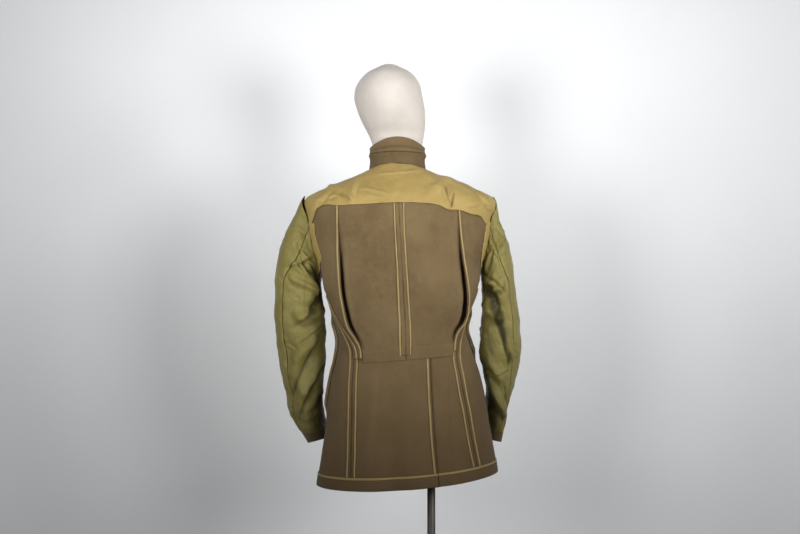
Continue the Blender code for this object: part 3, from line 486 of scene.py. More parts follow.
UNDER_WAIST, WAIST_TUCK, BAND_BELOW = 2.6, 4.0, 10.0

# Painted shade on the wool, bindings and linings towards the hem, for the light falling off downwards, in
# metres
FALLOFF_TOP, FALLOFF_FOOT, FALLOFF_PATCHES = 1.27, 0.78, 0.06

# The painted shadow line on the skirt beside the vent's edge
VENT_SHADE, VENT_SHADE_WIDTH = 0.75, 4.0

# Sewing
STITCH_PITCH, STITCH_HALF, STITCH_RADIUS = 3.0, 1.05, 0.36
STITCH_FACES = [(0, 2, 4), (2, 1, 4), (1, 3, 4), (3, 0, 4), (2, 0, 5), (1, 2, 5), (3, 1, 5), (0, 3, 5)]
StitchLine = namedtuple("StitchLine", "inset height")
PLEAT_STITCHES = StitchLine(0.72 * BINDING, 1.1)
VENT_STITCHES = StitchLine(0.75 * BINDING, 0.5)
SEAM_STITCHES = StitchLine(1.0, 0.75)
HEM_STITCHES = StitchLine(1.3, 0.6)
YOKE_STITCH_ROW, YOKE_STITCH_HEIGHT = 5, 0.1
BAND_STITCH_ROW = 2

# How far the rounded faces of folded tapes stand out
STRIP_PUFF = {"binding": 1.1, "wool": 0.15}
BAND_PUFF = 0.6
HEM_PUFF = {"turn": 0.3, "binding": 0.5}
YOKE_ROLL, YOKE_ROLL_WIDTH = 1.5, 7.0
LEAST_OPENING = 0.01


# Curves through the tables


def smooth(table, at):
    """Every column of a table at the given values of its first column, on smooth curves through its rows."""
    rows = np.array(table, float)
    knots = rows[:, 0]
    at = np.asarray(at, float)
    slopes = np.gradient(rows, knots, axis=0)
    row = np.clip(np.searchsorted(knots, at) - 1, 0, len(knots) - 2)
    span = (knots[row + 1] - knots[row])[..., None]
    share = np.clip((at[..., None] - knots[row][..., None]) / span, 0, 1)
    square, cube = share**2, share**3
    start = (2 * cube - 3 * square + 1) * rows[row] + (cube - 2 * square + share) * slopes[row] * span
    end = (3 * square - 2 * cube) * rows[row + 1] + (cube - square) * slopes[row + 1] * span
    return type(table[0])(*np.moveaxis(start + end, -1, 0))


def ease(value, low, high):
    """0 below low, 1 above high and a soft rise between them."""
    share = np.clip((np.asarray(value, float) - low) / (high - low), 0, 1)
    return share * share * (3 - 2 * share)


def signed_power(value, power):
    return np.sign(value) * np.abs(value) ** power


def joined(*axes):
    return np.stack(np.broadcast_arrays(*axes), -1).astype(float)


def spaced(start, end, count):
    return np.linspace(start, end, count)


def soft_noise(across, along, size, seed):
    """Smooth uneven waves of about that size, from -1 to 1."""
    lattice = np.random.default_rng(seed).uniform(-1, 1, (LATTICE, LATTICE))
    places = [np.asarray(way, float) / size for way in (across, along)]
    cells = [np.floor(place).astype(int) for place in places]
    right, up = (ease(place - cell, 0, 1) for place, cell in zip(places, cells))

    def corner(across_by, along_by):
        return lattice[(cells[0] + across_by) % LATTICE, (cells[1] + along_by) % LATTICE]

    low = corner(0, 0) * (1 - right) + corner(1, 0) * right
    high = corner(0, 1) * (1 - right) + corner(1, 1) * right
    return low * (1 - up) + high * up


def uneven(waves, across, along, seed):
    """Waves of several sizes on top of each other, each with a seed of its own."""
    total = 0.0
    for step, wave in enumerate(waves):
        total = total + wave.height * soft_noise(across, along, wave.size, seed + step)
    return total


def crumple(across, along, size, seed):
    """Papery creases: flat facets that meet in thin ridges."""
    coarse = soft_noise(across, along, size, seed)
    fine = soft_noise(across, along, size / 2, seed + 1)
    return CRUMPLE_LEVEL - np.abs(coarse + 0.5 * fine)


def photo_place(points):
    """Where points of the object fall in the photograph's frame."""
    away = points[..., 1] - CAMERA[1]
    px = FRAME_PX[0] / 2 + FOCAL_PX * (points[..., 0] - CAMERA[0]) / away
    py = FRAME_PX[1] / 2 - FOCAL_PX * (points[..., 2] - CAMERA[2]) / away
    return joined(px, py)


def crease_height(table, points):
    """How far creases push the cloth out, at points of the back view: a soft ridge beside a sharp valley."""
    place = photo_place(points)
    sway = WARP_PX * soft_noise(place[..., 0], place[..., 1], WARP_SIZE_PX, SEEDS["warp"])
    total = np.zeros(place.shape[:-1])
    for crease in table:
        start = np.array([crease.from_px, crease.from_py])
        run = np.array([crease.to_px, crease.to_py]) - start
        length = np.hypot(*run)
        way = run / length
        off = place - start
        share = off @ way / length
        across = off[..., 0] * way[1] - off[..., 1] * way[0] + sway
        aside = across * MM_PER_PX / crease.width
        fade = ease(share, -CREASE_FADE, CREASE_FADE) * (1 - ease(share, 1 - CREASE_FADE, 1 + CREASE_FADE))
        ridge = crease.ridge * np.exp(-((aside + RIDGE_AT) ** 2))
        valley = crease.valley * np.exp(-((np.abs(aside) / VALLEY_SPREAD) ** VALLEY_POWER))
        total = total + fade * (ridge - valley)
    return np.maximum(total, DEEPEST_VALLEY * np.tanh(total / DEEPEST_VALLEY))


# The body's cloth face. An angle of 0 is the centre back, 90 degrees the right side, 180 the front.


def body_face(angle, level):
    section = smooth(BODY, level)
    side = signed_power(np.sin(angle), BODY_POWER)
    rear = signed_power(np.cos(angle), BODY_POWER)
    depth = np.where(rear > 0, section.back_depth, section.front_depth)
    rise = np.where(rear > 0, section.back_rise, section.front_rise) * np.cos(angle) ** 2
    x = section.centre_x + section.half_width * side
    z = section.level + rise + section.half_width * side * np.tan(np.radians(section.roll))
    return joined(x, section.centre_y - depth * rear, z)


def body_normal(angle, level):
    turn, climb = 0.004, 0.6
    across = body_face(angle + turn, level) - body_face(angle - turn, level)
    upward = body_face(angle, level + climb) - body_face(angle, level - climb)
    normal = np.cross(across, upward)
    return normal / np.linalg.norm(normal, axis=-1, keepdims=True)


def skirt_drape(angle, level):
    """How far the skirt's soft drapes stand out at the back."""
    x = body_face(angle, level)[..., 0]
    total = np.zeros(np.broadcast(angle, level).shape)
    for drape in SKIRT_DRAPES:
        ridge = np.exp(-(((x - drape.across) / drape.width) ** 2))
        total = total + drape.height * ridge * (1 - ease(level, HEM, drape.top))
    return total * (np.cos(angle) > 0)


def body_relief(angle, level):
    """Drapes, creases and unevenness, which every layer on the body shares."""
    face = body_face(angle, level)
    behind = ease(np.cos(angle), *SIDE_FADE)
    before = ease(-np.cos(angle), *SIDE_FADE)
    creases = behind * crease_height(BACK_CREASES, face)
    creases = creases + before * crease_height(BACK_CREASES, face * TURNED_OVER)
    waves = uneven(WOOL_WAVES, angle * BODY_RADIUS + BODY_NOISE_AT, level, SEEDS["body"])
    return skirt_drape(angle, level) + creases + waves


def on_body(angle, level, out=0.0, relief=True):
    """Points that far out of the body's cloth face."""
    angle, level = np.broadcast_arrays(np.asarray(angle, float), np.asarray(level, float))
    extra = body_relief(angle, level) if relief else skirt_drape(angle, level)
    height = np.asarray(out + extra, float)[..., None]
    return body_face(angle, level) + body_normal(angle, level) * height


def back_angle(across, level):
    """The angle at which the back of the body lies at this place across."""
    section = smooth(BODY, level)
    share = np.clip((across - section.centre_x) / section.half_width, -1, 1)
    return np.arcsin(signed_power(share, 1 / BODY_POWER))


def arc_rate(angle, level):
    """How far round the body a turn of one radian goes."""
    turn = 0.01
    run = body_face(angle + turn, level) - body_face(angle - turn, level)
    return np.linalg.norm(run, axis=-1) / (2 * turn)


def sideways(angle, level, distance):
    """The angle at that distance round the body from this one, at the same height."""
    return angle + distance / arc_rate(angle, level)


def seam_angle(name, level):
    return back_angle(getattr(smooth(SEAMS, level), name), level)


def seam_line(name):
    """A seam's angle as a function of the height."""
    return lambda level: seam_angle(name, level)


def armhole_angle(side, level, width_deg):
    """The armhole's edge at a height: at the side in its ends, and that far round in its middle."""
    share = np.clip((level - ARMPIT) / (SHOULDER - ARMPIT), 0, 1)
    bulge = np.sqrt(np.maximum(0, 1 - (2 * share - 1) ** 2))
    return SIDE_SIGN[side] * (math.pi / 2 - math.radians(width_deg) * bulge)


def body_edge(side, level, armhole_deg):
    """A panel's outer edge: the side seam, and above it the armhole."""
    seam, armhole = seam_angle(side + "_side", level), armhole_angle(side, level, armhole_deg)
    return np.where(level < ARMPIT, seam, armhole)


def back_edge(side, level):
    return body_edge(side, level, ARMHOLE_BACK_DEG)


def front_edge(side, level):
    return body_edge(side, level, -ARMHOLE_FRONT_DEG)


def yoke_level(across):
    return smooth(YOKE_EDGE, across).level


def pleat_edge(side, level):
    """A pleat's free edge; above the yoke's edge it keeps its share of the width."""
    share = seam_angle(side + "_pleat", PLEAT_TOP) / back_edge(side, PLEAT_TOP)
    below = seam_angle(side + "_pleat", level)
    return np.where(level < PLEAT_TOP, below, share * back_edge(side, level))


def pleat_opening(level):
    """How far open the pleats are at a height, from 0 to 1."""
    opens = ease(level, PLEAT_CLOSED[0], PLEAT_WIDEST[0])
    closes = ease(level, PLEAT_WIDEST[1], PLEAT_CLOSED[1])
    return opens * (1 - closes)


def pleat_lift(side):
    """How far a pleat's underlay stands out of the panel: most at its free edge, near the waist."""

    def lift(angle, level):
        free, sewn = pleat_edge(side, level), back_edge(side, level)
        share = np.clip((angle - free) / (sewn - free), 0, 1)
        return SECOND_LAYER + PLEAT_LIFT * pleat_opening(level) * (1 - share)

    return lift


def free_edge(side):
    """The line of a pleat's free edge, which slides in over the trough where the pleat stands open."""

    def edge(level):
        slide = -SIDE_SIGN[side] * PLEAT_SLIDE * pleat_opening(level)
        return sideways(pleat_edge(side, level), level, slide)

    return edge


def pleat_trough(side, angle, level):
    """How far the back panel dips beside a pleat's free edge, with a low roll along the dip."""
    inward = SIDE_SIGN[side] * (pleat_edge(side, level) - angle) * arc_rate(angle, level)
    past = inward - TROUGH_AT
    reach = np.where(past > 0, PLEAT_TROUGH.inner, PLEAT_TROUGH.outer)
    dip = PLEAT_TROUGH.depth * np.exp(-((past / reach) ** 2))
    roll = PLEAT_TROUGH.ridge * np.exp(-(((inward - PLEAT_TROUGH.ridge_at) / PLEAT_TROUGH.ridge_width) ** 2))
    return (roll - dip) * pleat_opening(level)


def vent_lift(angle, level):
    """How far the left skirt stands off the right one that runs under it at the vent."""
    x = body_face(angle, level)[..., 0]
    lapped = smooth(SEAMS, level).vent - VENT_UNDERLAP - HEM_END_CLEAR
    return SECOND_LAYER * ease(x, lapped - VENT_RISE, lapped) * (np.cos(angle) > 0)


def front_lift(angle, level):
    """How far the right front stands off the left one that it covers."""
    start, end = (math.pi - math.radians(before) for before in FRONT_RISE_DEG)
    return SECOND_LAYER * ease(angle, start, end) + 0 * level


def no_lift(angle, level):
    return 0 * angle + 0 * level


def raised(amount, base):
    """A height on top of the panel's own lift."""
    return lambda angle, level: amount + base(angle, level)


def shifted(edge, distance):
    return lambda level: sideways(edge(level), level, distance)


def back_lattice(side, fine=1):
    """Angles and heights of one half of the back, from the centre seam out and from the waist up."""
    pleat_columns, side_columns = fine * PLEAT_COLUMNS, fine * SIDE_COLUMNS
    rows = {name: fine * count for name, count in BACK_ROWS.items()}
    inner = spaced(0, 1, pleat_columns + 1)
    outer = spaced(0, 1, side_columns + 1)[1:]
    half_gap = SIDE_SIGN[side] * SEAM_GAP / 2

    def across(level):
        centre = sideways(seam_angle("centre", level), level, half_gap)
        pleat = pleat_edge(side, level)
        edge = sideways(back_edge(side, level), level, -half_gap)
        near = centre[:, : len(inner)] * (1 - inner) + pleat[:, : len(inner)] * inner
        far = pleat[:, len(inner) :] * (1 - outer) + edge[:, len(inner) :] * outer
        return np.concatenate([near, far], axis=1)

    middle = np.full((1, pleat_columns + side_columns + 1), YOKE_MIDDLE)
    yoke = yoke_level(body_face(across(middle), middle)[..., 0])
    flat = np.ones_like(yoke)
    rise = spaced(0, 1, rows["armhole"] + 1)[1:, None] ** ROW_CROWDING
    close = 1 - (1 - spaced(0, 1, rows["yoke"] + 1)[1:, None]) ** ROW_CROWDING
    level = np.concatenate(
        [
            spaced(WAIST + SEAM_GAP, ARMPIT, rows["bodice"])[:, None] * flat,
            ARMPIT + rise * (yoke - ARMPIT),
            yoke + close * (SHOULDER - yoke),
            spaced(SHOULDER, NECK_EDGE, rows["shoulder"])[1:, None] * flat,
        ]
    )
    return across(level), level


def yoke_row(fine=1):
    """The row of the back's lattice that lies on the yoke's lower edge."""
    return fine * (BACK_ROWS["bodice"] + BACK_ROWS["armhole"]) - 1


def frame_shift():
    """How far the frame's origin lies from the jacket's own, read off the stand's pole."""
    low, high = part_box("stand_pole")
    return np.array([(low[0] + high[0]) / 2 - POLE_X * MM, (low[1] + high[1]) / 2 - POLE_Y * MM, 0.0])


SHIFT = frame_shift()


# Meshes and pieces


def grid_faces(rows, columns, closed=False):
    index = np.arange(rows * columns).reshape(rows, columns)
    if closed:
        index = np.concatenate([index, index[:, :1]], axis=1)
    corners = [index[:-1, :-1], index[:-1, 1:], index[1:, 1:], index[1:, :-1]]
    return np.stack(corners, -1).reshape(-1, 4)


def run_lengths(points, axis):
    """The distance along each row or column of a grid, from its start."""
    steps = np.linalg.norm(np.diff(points, axis=axis), axis=-1)
    start = np.zeros_like(np.take(steps, [0], axis=axis))
    return np.concatenate([start, np.cumsum(steps, axis=axis)], axis=axis)


def grid_mesh(name, points):
    """An open surface over a grid of points, with a flat pattern of it in metres as its texture space."""
    rows, columns = points.shape[:2]
    faces = grid_faces(rows, columns)
    mesh = bpy.data.meshes.new(name)
    mesh.from_pydata((points.reshape(-1, 3) * MM + SHIFT).tolist(), [], faces.tolist())
    flat = joined(run_lengths(points, 1), run_lengths(points, 0)).reshape(-1, 2) * MM
    pattern = mesh.uv_layers.new(name="pattern")
    pattern.data.foreach_set("uv", flat[faces.ravel()].ravel())
    mesh.shade_smooth()
    return mesh


def add_piece(name, mesh, materials, nodes):
    obj = bpy.data.objects.new(name, mesh)
    bpy.context.scene.collection.objects.link(obj)
    for material in materials:
        mesh.materials.append(MATERIALS[material])
    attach(obj, "root")
    if nodes:
        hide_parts(*nodes)
    return obj


def cloth(node, points, thickness, material, lining=None, painted_shade=None):
    """A cloth wall in place of a solid: the points are its outer face, with painted shade in its crevices."""
    materials = [material] + ([lining] if lining else [])
    mesh = grid_mesh(node, points)
    if painted_shade is not None:
        shade_mask = mesh.attributes.new("painted_shade", "FLOAT", "POINT")
        shade_mask.data.foreach_set("value", np.clip(painted_shade, 0, 1).ravel())
    obj = add_piece(f"{node}_cloth", mesh, materials, [node])
    wall = obj.modifiers.new("wall", "SOLIDIFY")
    wall.thickness = thickness * MM
    wall.offset = -1
    wall.material_offset = 1 if lining else 0
    return obj


def outward(side, points):
    """Turns a grid laid out from the inside to the outside edge so that its faces point out."""
    return points if side == "right" else points[:, ::-1]


STITCH_LINES = {"thread_tan": [], "thread_brown": []}


def sew(thread, points, normals):
    """Keeps a line of stitches along points of the cloth, to be made at the end."""
    STITCH_LINES[thread].append((points, normals))


def sew_body(thread, edge, levels, distance, out):
    """A line of stitches beside a line on the body."""
    angle = shifted(edge, distance)(levels)
    lift = out(angle, levels) if callable(out) else out
    sew(thread, on_body(angle, levels, lift), body_normal(angle, levels))


def along_line(at, run, points):
    """Points at those distances along a line."""
    return np.stack([np.interp(at, run, axis) for axis in points.T], -1)


def build_stitches():
    """Makes every kept line of stitches, one small spindle a stitch."""
    for thread, lines in STITCH_LINES.items():
        centres, ways, normals = [], [], []
        for points, outs in lines:
            run = run_lengths(points, 0)
            at = np.arange(STITCH_PITCH / 2, run[-1], STITCH_PITCH)
            centres.append(along_line(at, run, points))
            ways.append(along_line(at + 1, run, points) - along_line(at - 1, run, points))
            normals.append(along_line(at, run, outs))
        centre, way, out = (np.concatenate(part) for part in (centres, ways, normals))
        way /= np.linalg.norm(way, axis=1, keepdims=True)
        aside = np.cross(way, out)
        aside /= np.linalg.norm(aside, axis=1, keepdims=True)
        corners = [way * STITCH_HALF, aside * STITCH_RADIUS, out * STITCH_RADIUS]
        spindle = [sign * corner for corner in corners for sign in (1, -1)]
        points = np.stack([centre + offset for offset in spindle], axis=1)
        faces = np.arange(len(points))[:, None, None] * len(spindle) + np.array(STITCH_FACES)
        mesh = bpy.data.meshes.new(thread)
        mesh.from_pydata((points.reshape(-1, 3) * MM + SHIFT).tolist(), [], faces.reshape(-1, 3).tolist())
        mesh.shade_smooth()
        add_piece(f"stitches_{thread}", mesh, [thread], [])


# Materials

MATERIALS = {}


def new_material(name):
    """Starts a material, kept by its name apart from the frame's plain ones."""
    material = bpy.data.materials.new(f"made_{name}")
    material.use_nodes = True
    MATERIALS[name] = material
    return material.node_tree


def add(tree, kind, inputs, output=0, **settings):
    """Adds a shader node with its inputs set or linked, and gives one of its outputs."""
    node = tree.nodes.new(kind)
    for name, value in settings.items():
        setattr(node, name, value)
    for name, value in inputs.items():
        socket = node.inputs[name]
        if isinstance(value, bpy.types.NodeSocket):
            tree.links.new(value, socket)
        else:
            socket.default_value = value
    return node.outputs[output]


def noise(tree, place, scale, detail=3.0, roughness=0.55):
    return add(
        tree,
        "ShaderNodeTexNoise",
        {"Vector": place, "Scale": scale, "Detail": detail, "Roughness": roughness},
    )


def wave(tree, place, scale, distortion, detail, direction):
    """Even bands across a place."""
    return add(
        tree,
        "ShaderNodeTexWave",
        {"Vector": place, "Scale": scale, "Distortion": distortion, "Detail": detail},
        output=1,
        bands_direction=direction,
    )


def on_pattern(tree):
    """Places a texture on the cloth's flat pattern."""
    return add(tree, "ShaderNodeTexCoord", {}, output=2)


def in_space(tree):
    """Places a texture in the object's own space."""
    return add(tree, "ShaderNodeTexCoord", {}, output=3)


def ramp(tree, factor, low, high, start, end):
    """Maps a range of a factor onto two values or colours."""
    colour = isinstance(low, tuple)
    share = add(
        tree,
        "ShaderNodeMapRange",
        {"Value": factor, "From Min": start, "From Max": end},
        clamp=True,
    )
    if not colour:
        return add(tree, "ShaderNodeMapRange", {"Value": share, "To Min": low, "To Max": high})
    return mix(tree, share, (*low, 1), (*high, 1))


def mix(tree, factor, first, second, blend="MIX"):
    return add(
        tree,
        "ShaderNodeMix",
        {0: factor, 6: first, 7: second},
        output=2,
        data_type="RGBA",
        blend_type=blend,
    )


def math_node(tree, operation, first, second=0.5):
    return add(tree, "ShaderNodeMath", {0: first, 1: second}, operation=operation)


def bump(tree, height, strength, distance, finer=None):
    """Tilts the surface by a height, over a finer bump if there is one."""
    inputs = {"Height": height, "Strength": strength, "Distance": distance}
    if finer:
        inputs["Normal"] = finer
    return add(tree, "ShaderNodeBump", inputs)


def shader(tree, **inputs):
    """Sets or links the inputs of a material's main shader, by their names with underscores."""
    node = tree.nodes["Principled BSDF"]
    for name, value in inputs.items():
        socket = node.inputs[name.replace("_", " ")]
        if isinstance(value, bpy.types.NodeSocket):
            tree.links.new(value, socket)
        else:
            socket.default_value = value


def shaded_in_crevices(tree, base, dark, most):
    """Darkens a colour in the cloth's crevices: painted shade."""
    painted_shade = add(tree, "ShaderNodeAttribute", {}, output=2, attribute_name="painted_shade")
    return mix(tree, math_node(tree, "MULTIPLY", painted_shade, most), base, dark)


def painted_falloff(tree, base, dark):
    """Darkens a colour towards the hem, with a patchy edge: painted shade for the light falling off
    downwards.
    """
    place = in_space(tree)
    height = add(tree, "ShaderNodeSeparateXYZ", {0: place}, output=2)
    patchy = math_node(tree, "MULTIPLY", noise(tree, place, 5.0, 3.0), FALLOFF_PATCHES)
    level = math_node(tree, "ADD", height, patchy)
    falloff = add(tree, "ShaderNodeMapRange", {0: level, 1: FALLOFF_TOP, 2: FALLOFF_FOOT, 3: 0.0, 4: 1.0})
    return mix(tree, falloff, base, dark)


def shade(colour, share):
    """A darker tone of a colour, with full opacity."""
    return (*(channel * share for channel in colour), 1)


def wool_material():
    tree = new_material("wool")
    pattern = on_pattern(tree)
    place = in_space(tree)
    twill = wave(tree, pattern, 520.0, 0.6, 1.0, "DIAGONAL")
    fibre = noise(tree, place, 1500.0, 2.0)
    mottle = noise(tree, place, 9.0, 4.0)
    cloud = noise(tree, place, 60.0, 3.0)
    grain = noise(tree, place, 330.0, 2.0)
    warp = add(tree, "ShaderNodeMapping", {"Vector": place, "Scale": (1.0, 1.0, 0.06)})
    slub = noise(tree, warp, 420.0, 2.0)
    base = ramp(tree, mottle, (0.136, 0.089, 0.037), (0.200, 0.139, 0.064), 0.35, 0.65)
    base = mix(tree, ramp(tree, grain, 0.0, 0.35, 0.5, 0.75), base, (0.085, 0.056, 0.026, 1))
    base = mix(tree, ramp(tree, slub, 0.0, 0.3, 0.55, 0.75), base, (0.23, 0.162, 0.08, 1))
    base = mix(tree, ramp(tree, cloud, 0.0, 0.35, 0.35, 0.75), base, (0.218, 0.156, 0.082, 1))
    base = mix(tree, ramp(tree, twill, 0.35, 0.0, 0.2, 0.8), base, (0.074, 0.051, 0.027, 1))
    base = mix(tree, ramp(tree, fibre, 0.0, 0.4, 0.45, 0.8), base, (0.25, 0.182, 0.104, 1))
    # Painted shade: darker towards the hem for the light's falloff, and near black in the marked crevices
    base = painted_falloff(tree, base, (0.068, 0.043, 0.019, 1))
    base = shaded_in_crevices(tree, base, (0.012, 0.008, 0.004, 1), 0.9)
    height = math_node(tree, "ADD", twill, math_node(tree, "MULTIPLY", fibre, 1.4))
    shader(
        tree,
        Base_Color=base,
        Roughness=ramp(tree, fibre, 0.82, 0.96, 0.3, 0.7),
        Sheen_Weight=0.06,
        Sheen_Roughness=0.55,
        Specular_IOR_Level=0.12,
        Normal=bump(tree, height, 0.35, 0.0006),
    )


def lining_material(name, low, high, stain, roughness, weave_scale):
    """A fine cotton sateen: close weave, soft gloss, uneven colour."""
    tree = new_material(name)
    pattern = on_pattern(tree)
    place = in_space(tree)
    mottle = noise(tree, place, 14.0, 4.0)
    spots = noise(tree, place, 38.0, 5.0, 0.65)
    weave = wave(tree, pattern, weave_scale, 0.8, 1.0, "Y")
    slub = noise(tree, pattern, 900.0, 2.0)
    base = ramp(tree, mottle, low, high, 0.3, 0.7)
    base = mix(tree, ramp(tree, spots, 0.0, 0.5, 0.55, 0.8), base, (*stain, 1))
    base = mix(tree, ramp(tree, weave, 0.12, 0.0, 0.2, 0.8), base, shade(low, 0.55))
    # Painted shade: darker towards the hem for the light's falloff, and much darker in the marked crevices
    base = painted_falloff(tree, base, shade(low, 0.6))
    base = shaded_in_crevices(tree, base, shade(low, 0.12), 0.85)
    height = math_node(tree, "ADD", weave, slub)
    fine = bump(tree, height, 0.22, 0.0004)
    paper = noise(tree, place, 95.0, 3.0, 0.6)
    shader(
        tree,
        Base_Color=base,
        Roughness=ramp(tree, spots, roughness - 0.06, roughness + 0.1, 0.3, 0.7),
        Sheen_Weight=0.03,
        Sheen_Roughness=0.4,
        Specular_IOR_Level=0.25,
        Normal=bump(tree, paper, 0.4, 0.003, fine),
    )


def binding_material():
    tree = new_material("binding")
    pattern = on_pattern(tree)
    place = in_space(tree)
    mottle = noise(tree, place, 30.0, 4.0)
    rib = wave(tree, pattern, 420.0, 0.4, 2.0, "Y")
    base = ramp(tree, mottle, (0.31, 0.222, 0.088), (0.43, 0.322, 0.142), 0.3, 0.7)
    base = mix(tree, ramp(tree, rib, 0.3, 0.0, 0.2, 0.8), base, (0.22, 0.15, 0.05, 1))
    # Painted shade: darker towards the hem for the light's falloff
    base = painted_falloff(tree, base, (0.19, 0.128, 0.043, 1))
    shader(
        tree,
        Base_Color=base,
        Roughness=ramp(tree, mottle, 0.6, 0.78, 0.3, 0.7),
        Sheen_Weight=0.1,
        Specular_IOR_Level=0.3,
        Normal=bump(tree, rib, 0.3, 0.0004),
    )


def thread_material(name, colour):
    tree = new_material(name)
    place = in_space(tree)
    twist = noise(tree, place, 2500.0, 1.0)
    shader(
        tree,
        Base_Color=ramp(tree, twist, shade(colour, 0.75)[:3], colour, 0.35, 0.65),
        Roughness=ramp(tree, twist, 0.5, 0.7, 0.3, 0.7),
        Sheen_Weight=0.1,
        Normal=bump(tree, twist, 0.2, 0.0002),
    )


def form_material():
    tree = new_material("form_cover")
    place = in_space(tree)
    smudge = noise(tree, place, 11.0, 5.0, 0.6)
    knit = noise(tree, place, 1100.0, 2.0)
    speck = noise(tree, place, 75.0, 2.0)
    base = ramp(tree, smudge, (0.52, 0.47, 0.42), (0.60, 0.555, 0.505), 0.3, 0.6)
    base = mix(tree, ramp(tree, speck, 0.0, 0.5, 0.72, 0.8), base, (0.55, 0.42, 0.30, 1))
    shader(
        tree,
        Base_Color=base,
        Roughness=ramp(tree, smudge, 0.7, 0.85, 0.3, 0.7),
        Sheen_Weight=0.1,
        Specular_IOR_Level=0.3,
        Normal=bump(tree, knit, 0.15, 0.0004),
    )


def metal_material():
    tree = new_material("stand_metal")
    place = in_space(tree)
    grain = noise(tree, place, 700.0, 2.0)
    scuff = noise(tree, place, 26.0, 5.0, 0.65)
    base = ramp(tree, scuff, (0.045, 0.040, 0.034), (0.085, 0.076, 0.064), 0.35, 0.7)
    shader(
        tree,
        Base_Color=base,
        Roughness=ramp(tree, scuff, 0.34, 0.52, 0.3, 0.7),
        Metallic=0.55,
        Normal=bump(tree, grain, 0.12, 0.0003),
    )


def stage_material():
    """A pale wall and floor that are seen from their front only."""
    tree = new_material("stage")
    place = in_space(tree)
    tone = noise(tree, place, 1.3, 3.0)
    shader(tree, Base_Color=ramp(tree, tone, (0.80, 0.81, 0.82), (0.84, 0.85, 0.86), 0.3, 0.7), Roughness=0.9)
    seen_from_behind = add(tree, "ShaderNodeNewGeometry", {}, output=6)
    clear = add(tree, "ShaderNodeBsdfTransparent", {})
    wall = tree.nodes["Principled BSDF"].outputs[0]
    shown = add(tree, "ShaderNodeMixShader", {0: seen_from_behind, 1: wall, 2: clear})
    tree.links.new(shown, tree.nodes["Material Output"].inputs["Surface"])


def make_materials():
    wool_material()
    lining_material(
        "yoke_lining",
        low=(0.335, 0.238, 0.072),
        high=(0.42, 0.305, 0.108),
        stain=(0.25, 0.175, 0.055),
        roughness=0.62,
        weave_scale=480.0,
    )
    lining_material(
        "sleeve_lining",
        low=(0.182, 0.152, 0.040),
        high=(0.25, 0.212, 0.064),
        stain=(0.155, 0.122, 0.034),
        roughness=0.48,
        weave_scale=560.0,
    )
    binding_material()
    thread_material("thread_tan", (0.42, 0.31, 0.13))
    thread_material("thread_brown", (0.16, 0.11, 0.05))
    form_material()
    metal_material()
    stage_material()


# Back, pleats, skirt and fronts


def build_back():
    for side in SIDE_SIGN:
        angle, level = back_lattice(side)
        under_yoke = -UNDER_YOKE * ease(level - level[yoke_row()], *UNDER_YOKE_RISE)
        dip = pleat_trough(side, angle, level)
        points = on_body(angle, level, under_yoke + dip)
        # Painted shadow in the trough beside the pleat's free edge
        shade_mask = outward(side, TROUGH_SHADE * ease(-dip, 0.5 * PLEAT_TROUGH.depth, PLEAT_TROUGH.depth))
        obj = cloth(f"back_{side}", outward(side, points), WOOL, "wool", painted_shade=shade_mask)
        flat = outward(side, on_body(angle, level, relief=False))


def pleat_lattice(side):
    """The back's angles and heights under the pleat, up to just below the yoke's edge."""
    angle, level = back_lattice(side)
    rows, columns = slice(0, yoke_row() + 1), slice(PLEAT_COLUMNS, None)
    level = level[rows, columns].copy()
    level[-1] -= 2 * SEAM_GAP
    return angle[rows, columns], level


def build_pleats():
    for side, sign in SIDE_SIGN.items():
        angle, level = pleat_lattice(side)
        lift = pleat_lift(side)
        free = free_edge(side)
        near, far = sorted((sign * EDGE_GAP, sign * BINDING))
        out = raised(TRIM_FACE + LAYER_GAP, lift)
        binding = strip(f"pleat_binding_{side}", free, level[:, 0], near, far, out, "binding")
        above = raised(TRIM_FACE + PLEAT_STITCHES.height, lift)
        sew_body("thread_tan", free, level[:, 0], sign * PLEAT_STITCHES.inset, above)
        height = lift(angle, level)
        open_slide = (free(level) - pleat_edge(side, level)) * (height - SECOND_LAYER) / PLEAT_LIFT
        slide = open_slide / np.maximum(pleat_opening(level), LEAST_OPENING)
        points = on_body(angle + slide, level, height)
        obj = cloth(f"pleat_{side}", outward(side, points), WOOL, "wool")
        flat = on_body(angle, level, height, relief=False)


def build_armhole_tapes():
    """Rucked tapes along the back of the armholes, wider in one place than another."""
    share = spaced(0, 1, TAPE_COLUMNS)[None, :]
    for side, sign in SIDE_SIGN.items():
        edge = back_edge(side, YOKE_MIDDLE)
        top = float(yoke_level(body_face(edge, YOKE_MIDDLE)[0])) + TAPE_OVERRUN
        level = spaced(ARMHOLE_TAPE[0].level, top, TAPE_ROWS)[:, None]
        width = getattr(smooth(ARMHOLE_TAPE, level), side)
        edge = sideways(back_edge(side, level), level, -sign * SEAM_GAP)
        inner = back_angle(body_face(edge, level)[..., 0] - sign * width, level)
        angle = inner * (1 - share) + edge * share
        around = angle * BODY_RADIUS + LINING_NOISE_AT
        ruck = TAPE_RUCK.height * crumple(around, level, TAPE_RUCK.size, SEEDS["tape"] + sign)
        out = pleat_lift(side)(angle, level) + LINING_FACE + TAPE_LIFT + ruck
        cloth(f"armhole_tape_{side}", outward(side, on_body(angle, level, out)), LINING, "yoke_lining")


def skirt_columns(side, count):
    """The angles of a back skirt's columns by height, with those of the vent's overlap."""
    vent = seam_line("vent")
    under = shifted(vent, -VENT_UNDERLAP)
    seam = shifted(seam_line(side + "_side"), -SIDE_SIGN[side] * SEAM_GAP / 2)
    start, end = (seam, vent) if side == "left" else (under, seam)

    def angles(level):
        shares = spaced(0, 1, count)[None, :]
        return start(level) * (1 - shares) + end(level) * shares

    return angles


